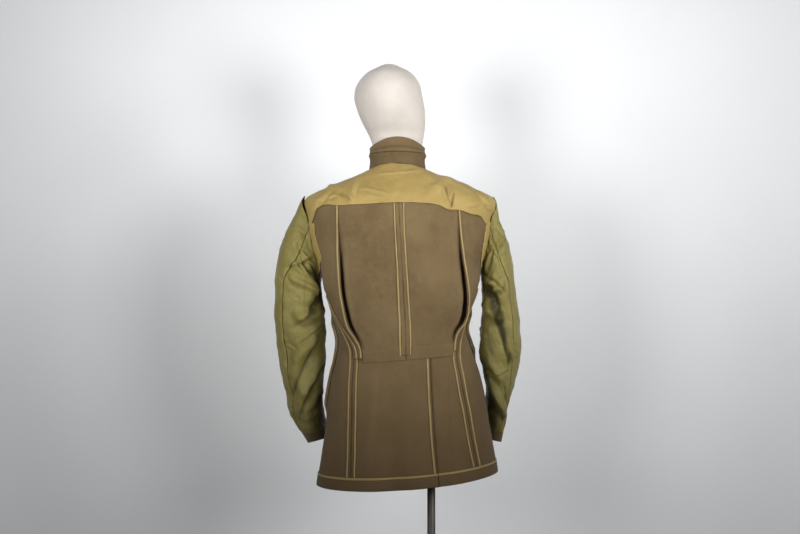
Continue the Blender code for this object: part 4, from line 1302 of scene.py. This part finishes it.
def build_skirt():
    level = spaced(HEM, WAIST + WAIST_TUCK, SKIRT_ROWS)[:, None]
    for side, lift in (("left", vent_lift), ("right", no_lift)):
        angle = skirt_columns(side, SKIRT_COLUMNS)(level)
        out = lift(angle, level) - UNDER_WAIST * ease(level, WAIST - 2 * WAIST_TUCK, WAIST - SEAM_GAP)
        past_vent = body_face(angle, level)[..., 0] - smooth(SEAMS, level).vent
        # Painted shadow beside the vent's edge, on the skirt that runs under it
        shade_mask = VENT_SHADE * np.exp(-((past_vent / VENT_SHADE_WIDTH) ** 2)) * (side == "right")
        obj = cloth(f"skirt_{side}", on_body(angle, level, out), WOOL, "wool", painted_shade=shade_mask)
        trims = [f"side_allowance_rear_{side}_cloth", f"side_binding_rear_{side}_cloth"]
        trims += [f"hem_turn_{side}_cloth", f"hem_binding_{side}_cloth"]
        on_body(angle, level, out, relief=False)


def front_columns(side, count):
    """The angles of a front's columns by height, from its seam to past the centre front."""
    lap = math.radians(FRONT_OVERLAP_DEG)
    sign = SIDE_SIGN[side]
    seam = shifted(lambda level: front_edge(side, level), sign * SEAM_GAP / 2)

    def angles(level):
        shares = spaced(0, 1, count)[None, :]
        return seam(level) * (1 - shares) + sign * (math.pi + lap) * shares

    return angles


def front_levels():
    share = (1 - np.cos(np.pi * spaced(0, 1, FRONT_ROWS["armhole"])[1:-1])) / 2
    skirt = spaced(HEM, ARMPIT, FRONT_ROWS["skirt"])
    armhole = ARMPIT + (SHOULDER - ARMPIT) * share
    return np.concatenate([skirt, armhole, spaced(SHOULDER, NECK_EDGE, FRONT_ROWS["shoulder"])])


def build_fronts():
    level = front_levels()[:, None]
    for side, lift in (("left", no_lift), ("right", front_lift)):
        angle = front_columns(side, FRONT_COLUMNS)(level)
        out = lift(angle, level)
        obj = cloth(f"front_{side}", outward(side, on_body(angle, level, out)), WOOL, "wool")
        trims = [f"side_allowance_fore_{side}_cloth", f"side_binding_fore_{side}_cloth"]
        trims += [f"underarm_fin_{side}_cloth", f"underarm_fin_binding_{side}_cloth"]
        flat = outward(side, on_body(angle, level, out, relief=False))


# Seam allowances, bindings and hem


def rounded(share):
    """The rounded face of a folded tape, across its width."""
    return 1 - (2 * share - 1) ** 4


def strip(node, edge, levels, near, far, out, material):
    """A flat strip beside a line on the body, between two distances from it."""
    level = np.asarray(levels, float)
    seed = len(node) * 7 + ord(node[0])
    sway = STRIP_SWAY.height * soft_noise(level, 0 * level, STRIP_SWAY.size, seed)
    share = spaced(0, 1, STRIP_COLUMNS)[None, :]
    place = near * (1 - share) + far * share + sway[:, None]
    angle = sideways(edge(level)[:, None], level[:, None], place)
    lift = out(angle, level[:, None]) if callable(out) else out
    puff = STRIP_PUFF[material] * rounded(share)
    loose = STRIP_LOOSE.height * soft_noise(level, 0 * level + 5, STRIP_LOOSE.size, seed + 1)
    points = on_body(angle, level[:, None], lift + puff + np.abs(loose[:, None] * share))
    return cloth(node, points, TAPE, material)


def bound_strips(kind, place, line, levels, way, near, fold, out):
    """A seam allowance beside its seam, and the binding along its edge."""
    allowance = sorted((way * near, way * fold))
    tape = sorted((way * (fold + EDGE_GAP), way * (fold + EDGE_GAP + BINDING)))
    strip(f"{kind}_allowance_{place}", line, levels, *allowance, out, "wool")
    strip(f"{kind}_binding_{place}", line, levels, *tape, out, "binding")
    stitch_at = way * (fold + EDGE_GAP + SEAM_STITCHES.inset)
    above = raised(SEAM_STITCHES.height, out) if callable(out) else out + SEAM_STITCHES.height
    sew_body("thread_tan", line, levels, stitch_at, above)


def build_centre_seam():
    levels = spaced(WAIST + SEAM_GAP, float(yoke_level(0.0)) - 2 * SEAM_GAP, STRIP_ROWS)
    centre = seam_line("centre")
    for side, sign in SIDE_SIGN.items():
        bound_strips("centre", side, centre, levels, sign, EDGE_GAP, CENTRE_ALLOWANCE, TRIM_FACE)


def build_side_seams():
    foot = HEM + HEM_TURN + BINDING + 2 * SEAM_GAP
    armpit = WAIST + (ARMPIT - WAIST) * 0.75
    skirt = spaced(foot, WAIST - SEAM_GAP, STRIP_ROWS)
    bodice = spaced(WAIST + SEAM_GAP, armpit, STRIP_ROWS)
    whole = spaced(foot, armpit, 2 * STRIP_ROWS)
    runs = [
        ("fore_left", "left", -1, whole, TRIM_FACE),
        ("fore_right", "right", 1, whole, TRIM_FACE),
        ("rear_left", "left", 1, skirt, TRIM_FACE),
        ("rear_right", "right", -1, skirt, TRIM_FACE),
        ("upper_left", "left", 1, bodice, raised(TRIM_FACE, pleat_lift("left"))),
    ]
    for place, side, way, levels, out in runs:
        line = seam_line(side + "_side")
        bound_strips("side", place, line, levels, way, SIDE_SEAM_CLEAR, SIDE_ALLOWANCE, out)


def body_patch(levels, start, end, columns):
    """Angles and heights of a patch: a row at each height, from one angle to another."""
    level = np.asarray(levels, float)[:, None]
    share = spaced(0, 1, columns)[None, :]
    angle = start(level) * (1 - share) + end(level) * share
    return np.broadcast_arrays(angle, level)


def beside_centre(way):
    """A line on one side of the centre seam, which keeps clear of its bound allowance above the waist."""
    clear = CENTRE_ALLOWANCE + EDGE_GAP + BINDING + SEAM_GAP

    def line(level):
        away = SEAM_GAP + (clear - SEAM_GAP) * ease(level, WAIST - 1, WAIST + 2)
        return sideways(seam_angle("centre", level), level, way * away)

    return line


def build_waist_band():
    levels = spaced(WAIST - BAND_BELOW, WAIST + WAIST_BAND, BAND_ROWS)
    left = shifted(seam_line("left_pleat"), SIDE_SEAM_CLEAR)
    right = shifted(seam_line("right_pleat"), -SIDE_SEAM_CLEAR)
    spans = {"left": (left, beside_centre(-1)), "right": (beside_centre(1), right)}
    for side, (start, end) in spans.items():
        puff = BAND_PUFF * rounded(spaced(0, 1, len(levels)))[:, None]
        angle, level = body_patch(levels, start, end, BAND_COLUMNS)
        points = on_body(angle, level, LINING_FACE + puff + vent_lift(angle, level))
        cloth(f"waist_band_{side}", points, LINING, "wool")
        for row in (BAND_STITCH_ROW, len(levels) - 1 - BAND_STITCH_ROW):
            sew("thread_brown", points[row], body_normal(angle[row], level[row]))


def build_vent_binding():
    levels = spaced(HEM + HEM_TURN + BINDING + 2 * SEAM_GAP, WAIST - BAND_BELOW - 1, STRIP_ROWS)
    vent = seam_line("vent")
    far = -VENT_BINDING_INSET
    strip("vent_binding", vent, levels, far - BINDING, far, raised(TRIM_FACE, vent_lift), "binding")
    above = raised(TRIM_FACE + VENT_STITCHES.height, vent_lift)
    sew_body("thread_tan", vent, levels, far - VENT_STITCHES.inset, above)


def hem_angles(side, level):
    """The angles along one half of the hem, clear of what covers it."""
    skirt = skirt_columns(side, HEM_SKIRT_COLUMNS)(level)
    front = front_columns(side, HEM_FRONT_COLUMNS)(level)
    covered = math.pi - math.radians(FRONT_OVERLAP_DEG)
    if side == "left":
        end = sideways(np.full_like(level, -covered), level, HEM_END_CLEAR)
        share = spaced(0, 1, HEM_SKIRT_COLUMNS)[None, :]
        return np.concatenate([end * (1 - share) + front[:, :1] * share, skirt], axis=1)
    start = sideways(seam_angle("vent", level), level, VENT_CLEAR)
    share = spaced(0, 1, HEM_VENT_COLUMNS)[None, :]
    return np.concatenate([start * (1 - share) + skirt[:, -1:] * share, front], axis=1)


def build_hem():
    top = HEM + HEM_TURN
    bands = {
        "turn": (spaced(HEM + SEAM_GAP, top, HEM_ROWS), "wool"),
        "binding": (spaced(top + EDGE_GAP, top + BINDING + SEAM_GAP, STRIP_COLUMNS), "binding"),
    }
    for side, lift in {"left": vent_lift, "right": front_lift}.items():
        for name, (levels, material) in bands.items():
            level = levels[:, None]
            angle = hem_angles(side, level)
            puff = HEM_PUFF[name] * rounded(spaced(0, 1, len(levels)))[:, None]
            points = on_body(angle, level, TRIM_FACE + lift(angle, level) + puff)
            cloth(f"hem_{name}_{side}", points, TAPE, material)
        level = np.full((1, 1), top + HEM_STITCHES.inset)
        angle = hem_angles(side, level)
        line = on_body(angle, level, TRIM_FACE + HEM_STITCHES.height + lift(angle, level))[0]
        sew("thread_tan", line, body_normal(angle, level + 0 * angle)[0])


def build_fins():
    """The underarm seam's allowances stand off the side, with a bound edge."""
    fold = LAYER_GAP + FIN_HEIGHT
    tape_end = fold + EDGE_GAP + BINDING
    layers = [
        ("fin", LAYER_GAP, fold, "wool"),
        ("fin_binding", fold + EDGE_GAP, tape_end, "binding"),
    ]
    for side, sign in SIDE_SIGN.items():
        first, last = FIN_LEVELS[side]
        levels = spaced(first, last, FIN_ROWS)[:, None]
        ends = ease(levels, first, first + FIN_FADE) * (1 - ease(levels, last - FIN_FADE, last))
        stand = FIN_END_SHARE + (1 - FIN_END_SHARE) * ends
        waves = FIN_LEAN.height * soft_noise(levels, 0 * levels, FIN_LEAN.size, SEEDS["fin"])
        for name, low, high, material in layers:
            height = LAYER_GAP + (spaced(low, high, STRIP_COLUMNS)[None, :] - LAYER_GAP) * stand
            lean = waves * height / tape_end
            angle = sideways(sign * math.radians(FIN_DEG) + 0 * levels, levels, lean)
            cloth(f"underarm_{name}_{side}", on_body(angle, levels, height), TAPE, material)


# Yoke and collar


def build_yoke():
    halves = {side: back_lattice(side, YOKE_FINENESS) for side in SIDE_SIGN}
    rows = slice(yoke_row(YOKE_FINENESS), None)
    angle = np.concatenate([halves["left"][0][rows, ::-1], halves["right"][0][rows, 1:]], axis=1)
    level = np.concatenate([halves["left"][1][rows, ::-1], halves["right"][1][rows, 1:]], axis=1)
    level[-1] = YOKE_TOP
    share = angle / np.where(angle < 0, angle[:, :1], angle[:, -1:])
    trim = YOKE_TRIM * ease(share, *YOKE_TRIM_ROUND) * ease(level, *YOKE_TRIM_LEVELS)
    trim = trim * (1 - ease(level, SHOULDER - YOKE_TRIM_FADE, SHOULDER + YOKE_TRIM_FADE))
    angle = sideways(angle, level, -np.sign(angle) * trim)
    face = body_face(angle, level)
    roll = YOKE_ROLL * np.exp(-((run_lengths(face, 0) / YOKE_ROLL_WIDTH) ** 2))
    creases = crease_height(YOKE_CREASES, face)
    # Painted shade in the valleys of the yoke's creases
    shade_mask = YOKE_SHADE * ease(-creases, *YOKE_SHADE_DEPTHS)
    across = face[..., 0] + LINING_NOISE_AT
    papery = crumple(across, level * YOKE_CRUMPLE_STRETCH, YOKE_CRUMPLE.size, SEEDS["yoke_crumple"])
    relief = creases + uneven(LINING_WAVES, across, level, SEEDS["yoke"]) + YOKE_CRUMPLE.height * papery
    out = LINING_FACE + np.maximum(relief, -UNDER_YOKE + LINING) + roll
    obj = cloth("yoke_lining", on_body(angle, level, out), LINING, "yoke_lining", painted_shade=shade_mask)
    on_body(angle, level, LINING_FACE, relief=False)
    angle, level, out = (grid[YOKE_STITCH_ROW] for grid in (angle, level, out))
    sew("thread_tan", on_body(angle, level, out + YOKE_STITCH_HEIGHT), body_normal(angle, level))


def build_yoke_fronts():
    """The yoke's short ends over the shoulders."""
    level = np.append(spaced(SHOULDER, NECK_EDGE, YOKE_FRONT_ROWS)[:-1], YOKE_TOP)[:, None]
    for side in SIDE_SIGN:
        angle = front_columns(side, FRONT_COLUMNS)(level)[:, : FRONT_COLUMNS // 4]
        around = angle * BODY_RADIUS + LINING_NOISE_AT
        waves = soft_noise(around, level, YOKE_FRONT_WAVES.size, SEEDS["yoke_front"])
        out = LINING_FACE + YOKE_FRONT_WAVES.height * waves
        obj = cloth(f"yoke_front_{side}", outward(side, on_body(angle, level, out)), LINING, "yoke_lining")
        flat = outward(side, on_body(angle, level, LINING_FACE, relief=False))


def collar_face(angle, step):
    ring = smooth(COLLAR, step)
    rear = np.cos(angle)
    height = ring.side + np.where(rear > 0, ring.back - ring.side, ring.front - ring.side) * rear**2
    depth = np.where(rear > 0, ring.back_depth, ring.front_depth)
    return joined(COLLAR_CENTRE_X + ring.half_width * np.sin(angle), ring.centre_y - depth * rear, height)


def stand_finish(angle, step):
    """How the collar's stand tucks in under the fall, and its painted shade, darkest under the fall."""
    tuck = (COLLAR_CLOTH + LAYER_GAP) * ease(step, COLLAR_SPLIT - COLLAR_TUCK_RUN, COLLAR_SPLIT)
    shade_mask = STAND_SHADE + STAND_TUCK_SHADE * ease(step, COLLAR_SPLIT - STAND_TUCK_SHADE_RUN, COLLAR_SPLIT)
    return -tuck, shade_mask


def fall_finish(angle, step):
    """The lip and crease of the collar's fall, and painted shade in its crease."""
    crease = np.exp(-(((step - FALL_CREASE_STEP) / FALL_CREASE_WIDTH) ** 2))
    crease = crease * ease(np.cos(angle), *FALL_CREASE_ROUND)
    lip = COLLAR_LIP * np.exp(-(((step - step[0]) / COLLAR_LIP_WIDTH) ** 2))
    return lip - FALL_CREASE * crease, FALL_CREASE_SHADE * crease


def build_collar():
    opening = math.radians(COLLAR_OPENING_DEG)
    angle = spaced(-math.pi + opening, math.pi - opening, COLLAR_COLUMNS)[None, :]
    away = joined(np.sin(angle), -np.cos(angle), 0 * angle)
    for name, low, high, finish in (
        ("stand", COLLAR[0].step, COLLAR_SPLIT + COLLAR_TUCK, stand_finish),
        ("fall", COLLAR_SPLIT - COLLAR_SPLIT_GAP, COLLAR[-1].step, fall_finish),
    ):
        step = spaced(low, high, COLLAR_ROWS[name])[:, None] + 0 * angle
        flat = collar_face(angle, step)
        around = angle * COLLAR_RADIUS + COLLAR_NOISE_AT
        # The finishes also give the collar's painted shade
        extra, shade_mask = finish(angle, step)
        height = uneven(COLLAR_WAVES, around, step * COLLAR_STEP, SEEDS["collar"]) + extra
        points = flat + away * height[..., None]
        obj = cloth(f"collar_{name}", points, COLLAR_CLOTH, "wool", painted_shade=shade_mask)


# Sleeves


def armhole_place(side, turn):
    """The angle and level of the armhole's edge, by the angle round the sleeve."""
    level = ARMPIT + (SHOULDER - ARMPIT) * (1 + np.cos(turn)) / 2
    width = np.where(np.sin(turn) > 0, ARMHOLE_BACK_DEG, ARMHOLE_FRONT_DEG)
    return SIDE_SIGN[side] * (math.pi / 2 - np.radians(width) * np.sin(turn)), level


def armhole_ring(side, turn):
    """The armhole's edge as the sleeve meets it, by the angle round the sleeve."""
    return body_face(*armhole_place(side, turn)) + np.array([SIDE_SIGN[side] * SLEEVE_GAP, 0, 0])


def cap_edge(side, turn):
    """Where the sleeve's cap laps over the end of the yoke."""
    angle, level = armhole_place(side, turn)
    inward = -SIDE_SIGN[side] * CAP_OVERHANG * np.maximum(np.sin(turn), 0)
    climb = CAP_CLIMB * np.maximum(np.cos(turn), 0)
    return on_body(sideways(angle, level, inward), level + climb, CAP_OUT, relief=False)


def sleeve_oval(side, turn, along):
    ring = smooth(SLEEVES[side], along)
    outer = joined(ring.outer_x, ring.outer_y, ring.outer_z)
    inner = joined(ring.inner_x, ring.inner_y, ring.inner_z)
    middle, reach = (outer + inner) / 2, (outer - inner) / 2
    flat = np.hypot(reach[..., 0], reach[..., 1])
    back = SIDE_SIGN[side] * joined(reach[..., 1] / flat, -reach[..., 0] / flat, 0 * flat)
    depth = back * ring.half_depth[..., None]
    return middle + reach * np.cos(turn)[..., None] + depth * np.sin(turn)[..., None]


def sleeve_face(side, turn, along):
    """Angle 0 is the sleeve's outer edge, 90 degrees its back and 180 its inner edge."""
    turn, along = np.broadcast_arrays(turn, along)
    misfit = armhole_ring(side, turn) - sleeve_oval(side, turn, 0 * along)
    return sleeve_oval(side, turn, along) + misfit * (1 - ease(along, 0, ARMHOLE_BLEND))[..., None]


def fold_height(folds, turn, along):
    """How high the folds stand, with a shallow trough beside each."""
    radius = SLEEVE_RADIUS
    total = np.zeros(np.broadcast(turn, along).shape)
    for fold in folds:
        start = np.array([math.radians(fold.from_deg) * radius, fold.from_along])
        run = np.array([math.radians(fold.to_deg) * radius, fold.to_along]) - start
        round_by, along_by = turn * radius - start[0], along - start[1]
        share = np.clip((round_by * run[0] + along_by * run[1]) / (run @ run), 0, 1)
        off = np.hypot(round_by - share * run[0], along_by - share * run[1])
        ridge = np.exp(-((off / fold.width) ** 2))
        trough = np.exp(-(((off - 2 * fold.width) / fold.width) ** 2))
        total = total + fold.height * (ridge - FOLD_TROUGH * trough)
    return total


def hind_seam(along):
    """The angle round the sleeve at which the hind seam runs."""
    return np.radians(smooth(HIND_SEAM, along).degrees)


def seam_pinch(turn, along):
    """How far the two long seams are drawn in, with small puckers."""
    total = 0.0
    front = math.radians(FRONT_SEAM_DEG)
    for seam in (hind_seam(along), front, front - 2 * math.pi):
        off = (turn - seam) * SLEEVE_RADIUS
        pucker = 1 + PUCKERS.height * soft_noise(along, 0 * along, PUCKERS.size, SEEDS["puckers"])
        total = total + PINCH * pucker * np.exp(-((off / PINCH_WIDTH) ** 2))
    return total


def sleeve_relief(side, turn, along, face, normal):
    """A sleeve's creases, puckers at its seams and unevenness."""
    other = "right" if side == "left" else "left"
    behind = ease(-normal[..., 1], *SLEEVE_SIDE_FADE)
    creases = behind * crease_height(SLEEVE_CREASES[side], face)
    ahead = ease(normal[..., 1], *SLEEVE_SIDE_FADE)
    creases = creases + ahead * crease_height(SLEEVE_CREASES[other], face * TURNED_ROUND)
    around, seed = turn * SLEEVE_RADIUS + LINING_NOISE_AT, SEEDS[side + "_sleeve"]
    papery = crumple(around, along * SLEEVE_CRUMPLE_STRETCH, SLEEVE_CRUMPLE.size, seed + 5)
    slanted = around + FINE_CRUMPLE_SLANT * along
    small = crumple(slanted, along * FINE_CRUMPLE_STRETCH, FINE_CRUMPLE.size, seed + 11)
    fine = uneven(SLEEVE_WAVES, around, along, seed) + SLEEVE_CRUMPLE.height * papery
    fine = fine + FINE_CRUMPLE.height * small
    gathers = GATHERS.height * soft_noise(around, along * GATHERS_STRETCH, GATHERS.size, seed + 9)
    gathers = gathers * np.exp(-((along / GATHERS_REACH) ** 2)) * ease(along, *GATHERS_START)
    whole = ease(along, *RELIEF_START) * (1 - ease(along, CUFF_START - RELIEF_END, CUFF_START))
    return whole * (fine + creases - seam_pinch(turn, along)) + gathers


def on_sleeve(side, turn, along, relief=True):
    """Points of a sleeve's outer face, with its folds and, if asked for, its creases."""
    turn, along = np.broadcast_arrays(turn, along)
    turn_by, down_by = 0.02, 1.0
    round_by = sleeve_face(side, turn + turn_by, along) - sleeve_face(side, turn - turn_by, along)
    downward = sleeve_face(side, turn, along + down_by) - sleeve_face(side, turn, along - down_by)
    normal = SIDE_SIGN[side] * np.cross(round_by, downward)
    normal /= np.linalg.norm(normal, axis=-1, keepdims=True)
    face = sleeve_face(side, turn, along)
    ends = ease(along, *FOLDS_START) * (1 - ease(along, CUFF_START - FOLDS_END, CUFF_START))
    ends = ends * (1 - EDGE_FLATTENING * ease(np.abs(np.cos(turn)), *FLATTENED_ROUND))
    height = fold_height(SLEEVE_FOLDS[side], turn, along) * ends
    if relief:
        for puff in HEAD_PUFFS[side]:
            swell = puff.height * np.exp(-(((along - puff.along) / puff.span) ** 2))
            height = height + swell * ease(np.cos(turn), *PUFF_ROUND)
        height = height + sleeve_relief(side, turn, along, face, normal)
        cap = ease(np.cos(turn), *CAP_TOP) * ease(np.sin(turn), *CAP_BACK)
        cap = cap * (1 - ease(along, 0, CAP_LENGTH))
        face = face + cap[..., None] * (cap_edge(side, turn) - armhole_ring(side, turn))
    return face + normal * height[..., None]


def painted_sleeve_shade(side, turn, along):
    """How dark a sleeve's painted shade is, from 0 to 1: in the valleys of its creases and towards its inner
    edge.
    """
    turn, along = np.broadcast_arrays(turn, along)
    depth = -crease_height(SLEEVE_CREASES[side], sleeve_face(side, turn, along))
    valleys = ease(depth, *SLEEVE_SHADE_DEPTHS) * ease(np.sin(turn), *SLEEVE_SHADE_ROUND)
    inner = INNER_SHADE * ease(-np.cos(turn), *INNER_SHADE_ROUND) * ease(along, *INNER_SHADE_ALONG)
    return np.maximum(valleys, inner)


def sleeve_rows(points, side):
    """Orders a sleeve grid so that its faces point out of the tube."""
    return points[::-1, ::-1] if side == "right" else points[::-1]


def build_sleeves():
    gap = math.radians(SLEEVE_SEAM_GAP_DEG)
    along = spaced(0, CUFF_START - SEAM_GAP, SLEEVE_ROWS)[:, None]
    hind, front = hind_seam(along), math.radians(FRONT_SEAM_DEG)
    near_hind = spaced(0, 1, UNDER_COLUMNS)[None, :] ** COLUMN_CROWDING
    to_hind = 1 - spaced(1, 0, TOP_COLUMNS)[None, :] ** COLUMN_CROWDING
    halves = (("top", front - 2 * math.pi, hind, to_hind), ("under", hind, front, near_hind))
    for side in SIDE_SIGN:
        for name, start, end, share in halves:
            turn = (start + gap) * (1 - share) + (end - gap) * share
            points = sleeve_rows(on_sleeve(side, turn, along), side)
            # Painted shade in the sleeve's crease valleys and on its inner side
            shade_mask = sleeve_rows(painted_sleeve_shade(side, turn, along), side)
            obj = cloth(f"sleeve_{name}_{side}", points, LINING, "sleeve_lining", "wool", shade_mask)
            flat = sleeve_rows(on_sleeve(side, turn, along, relief=False), side)


def build_cuffs():
    gap = math.radians(SLEEVE_SEAM_GAP_DEG)
    along = spaced(CUFF_START, SLEEVE_LENGTH, CUFF_ROWS)[:, None]
    seam = math.radians(FRONT_SEAM_DEG)
    for side in SIDE_SIGN:
        turn = spaced(seam - 2 * math.pi + gap, seam - gap, CUFF_COLUMNS)[None, :]
        flat = sleeve_rows(on_sleeve(side, turn, along, relief=False), side)
        obj = cloth(f"cuff_facing_{side}", flat, WOOL, "wool")


# Dress form and stand


def full_turn():
    """The angles of a closed ring's points."""
    return spaced(0, 2 * math.pi, RING_POINTS + 1)[:-1]


def ring_mesh(name, rings):
    """A closed skin through rings of points, from the bottom ring to the top one."""
    rows, columns = rings.shape[:2]
    faces = grid_faces(rows, columns, closed=True).tolist()
    faces.append(list(range(columns))[::-1])
    faces.append([(rows - 1) * columns + column for column in range(columns)])
    mesh = bpy.data.meshes.new(name)
    mesh.from_pydata((rings.reshape(-1, 3) * MM + SHIFT).tolist(), [], faces)
    mesh.shade_smooth()
    mesh.set_sharp_from_angle(angle=math.radians(50))
    return mesh


def head_ring(turn, height):
    ring = smooth(HEAD, height)
    rear = np.cos(turn)
    depth = np.where(rear > 0, ring.back_depth, ring.front_depth)
    return joined(ring.centre_x + ring.half_width * np.sin(turn), ring.centre_y - depth * rear, ring.height)


def build_form():
    turn = full_turn()
    torso = spaced(FORM_BOTTOM + FORM_FOOT, SHOULDER, FORM_ROWS["torso"])[:-1]
    levels = np.concatenate([torso, spaced(SHOULDER, NECK_EDGE, FORM_ROWS["shoulder"])])
    rings = on_body(turn[None, :], levels[:, None], -FORM_INSET, relief=False)
    feet = []
    for share in spaced(0, 1, FORM_ROWS["foot"])[:-1]:
        foot = rings[0].copy()
        foot[:, 2] = FORM_BOTTOM + FORM_FOOT * share
        feet.append(foot)
    neck = head_ring(turn, np.full_like(turn, HEAD[0].height))
    neck[:, 2] = NECK_JOIN
    mesh = ring_mesh("form_torso", np.concatenate([np.stack(feet), rings, neck[None]]))
    add_piece("form_torso_cover", mesh, ["form_cover"], ["form_torso"])


def build_head():
    turn = full_turn()
    heights = spaced(HEAD[0].height, HEAD[-1].height, HEAD_ROWS)
    rings = head_ring(turn[None, :], heights[:, None] + 0 * turn[None, :])
    top = rings[-1]
    middle = top.mean(axis=0)
    dome = []
    for share in spaced(1, DOME_END, DOME_ROWS)[1:]:
        ring = middle + (top - middle) * share
        ring[:, 2] = HEAD[-1].height + HEAD_DOME * (1 - share**2)
        dome.append(ring)
    mesh = ring_mesh("form_head", np.concatenate([rings, np.stack(dome)]))
    add_piece("form_head_cover", mesh, ["form_cover"], ["form_head"])


def turned(name, rim):
    """A solid turned round the pole's axis, from a rim of radius and height that runs down."""
    turn = full_turn()
    rings = []
    for radius, height in rim[::-1]:
        ring = joined(POLE_X + radius * np.cos(turn), POLE_Y + radius * np.sin(turn), height + 0 * turn)
        rings.append(ring)
    mesh = ring_mesh(name, np.stack(rings))
    add_piece(f"{name}_metal", mesh, ["stand_metal"], [name])


def softened(rim, edge):
    """A rim with a small chamfer at its top and bottom corner."""
    (top_radius, top), (low_radius, low) = rim[0], rim[-1]
    start = [(top_radius - edge, top), (top_radius, top - edge)]
    end = [(low_radius, low + edge), (low_radius - edge, low)]
    return start + list(rim[1:-1]) + end


def build_stand():
    flange_top = FORM_BOTTOM - LAYER_GAP
    flange_low = flange_top - FLANGE_THICK
    hub_low = BASE_THICK + LAYER_GAP
    hub_top = hub_low + HUB_HEIGHT
    turned("stand_flange", softened([(FLANGE_RADIUS, flange_top), (FLANGE_RADIUS, flange_low)], FLANGE_EDGE))
    pole = [(POLE_RADIUS, flange_low - LAYER_GAP), (POLE_RADIUS, hub_top + LAYER_GAP)]
    turned("stand_pole", softened(pole, POLE_EDGE))
    hub = [(HUB_TOP_RADIUS, hub_top), (HUB_RADIUS, hub_low + HUB_FOOT), (HUB_RADIUS, hub_low)]
    turned("stand_hub", softened(hub, HUB_EDGE))
    base = [(BASE_RADIUS, BASE_THICK), (BASE_RADIUS, 0)]
    turned("stand_base", softened(base, BASE_EDGE))


# Stage, lights and camera


def place_camera():
    data = bpy.data.cameras.new("camera")
    data.sensor_width = SENSOR
    data.lens = FOCAL_PX / FRAME_PX[0] * SENSOR
    camera = bpy.data.objects.new("camera", data)
    camera.location = np.array(CAMERA) * MM + SHIFT
    camera.rotation_euler = (math.pi / 2, 0, 0)
    bpy.context.scene.collection.objects.link(camera)
    bpy.context.scene.camera = camera


WALL_Y = 0.62
STAGE_HALF = 4.0
STAGE_FRONT = -5.0
STAGE_HEIGHT = 4.0
STAGE_CURVE, STAGE_CURVE_POINTS = 0.35, 17


def build_stage():
    """A pale floor that curves up into a wall behind the object."""
    profile = [(STAGE_FRONT, 0.0)]
    centre_y = WALL_Y - STAGE_CURVE
    for turn in spaced(0, math.pi / 2, STAGE_CURVE_POINTS):
        profile.append((centre_y + STAGE_CURVE * math.sin(turn), STAGE_CURVE * (1 - math.cos(turn))))
    profile.append((WALL_Y, STAGE_HEIGHT))
    points = [(x, y, z) for y, z in profile for x in (-STAGE_HALF, STAGE_HALF)]
    mesh = bpy.data.meshes.new("stage")
    mesh.from_pydata(points, [], grid_faces(len(profile), 2).tolist())
    mesh.shade_smooth()
    mesh.materials.append(MATERIALS["stage"])
    stage = bpy.data.objects.new("stage", mesh)
    bpy.context.scene.collection.objects.link(stage)


Lamp = namedtuple("Lamp", "name x y z aim_x aim_y aim_z size power spread_deg")
LAMPS = [
    Lamp("left", -1.15, -2.1, 1.45, 0.1, 0.0, 1.7, 0.75, 4.0, 62),
    Lamp("right", 1.25, -2.1, 1.45, -0.05, 0.0, 1.7, 0.75, 4.2, 62),
    Lamp("far_left", -2.2, -1.6, 1.9, -0.6, 0.4, 1.7, 0.9, 7.6, 102),
    Lamp("far_right", 2.2, -1.6, 1.9, 0.6, 0.4, 1.7, 0.9, 13.2, 102),
    Lamp("above", 0.15, -1.0, 3.05, 0.05, 0.1, 1.6, 2.0, 4.0, 120),
]
AMBIENT = (0.95, 0.97, 1.0)
AMBIENT_STRENGTH = 0.04


def light_scene():
    for lamp in LAMPS:
        data = bpy.data.lights.new(f"lamp_{lamp.name}", "AREA")
        data.shape = "DISK"
        data.size = lamp.size
        data.energy = lamp.power
        data.spread = math.radians(lamp.spread_deg)
        obj = bpy.data.objects.new(f"lamp_{lamp.name}", data)
        obj.location = (lamp.x, lamp.y, lamp.z)
        way = np.array([lamp.aim_x - lamp.x, lamp.aim_y - lamp.y, lamp.aim_z - lamp.z])
        pitch = math.acos(-way[2] / np.linalg.norm(way))
        obj.rotation_euler = (pitch, 0, math.atan2(-way[0], way[1]))
        bpy.context.scene.collection.objects.link(obj)
    world = bpy.data.worlds.new("studio")
    world.use_nodes = True
    world.node_tree.nodes["Background"].inputs["Color"].default_value = (*AMBIENT, 1)
    world.node_tree.nodes["Background"].inputs["Strength"].default_value = AMBIENT_STRENGTH
    bpy.context.scene.world = world
    bpy.context.scene.view_settings.view_transform = "Standard"


def main():
    make_materials()
    build_form()
    build_head()
    build_stand()
    build_armhole_tapes()
    build_centre_seam()
    build_side_seams()
    build_waist_band()
    build_vent_binding()
    build_hem()
    build_fins()
    build_back()
    build_pleats()
    build_skirt()
    build_fronts()
    build_yoke()
    build_yoke_fronts()
    build_collar()
    build_sleeves()
    build_cuffs()
    build_stitches()
    build_stage()
    light_scene()
    place_camera()


main()
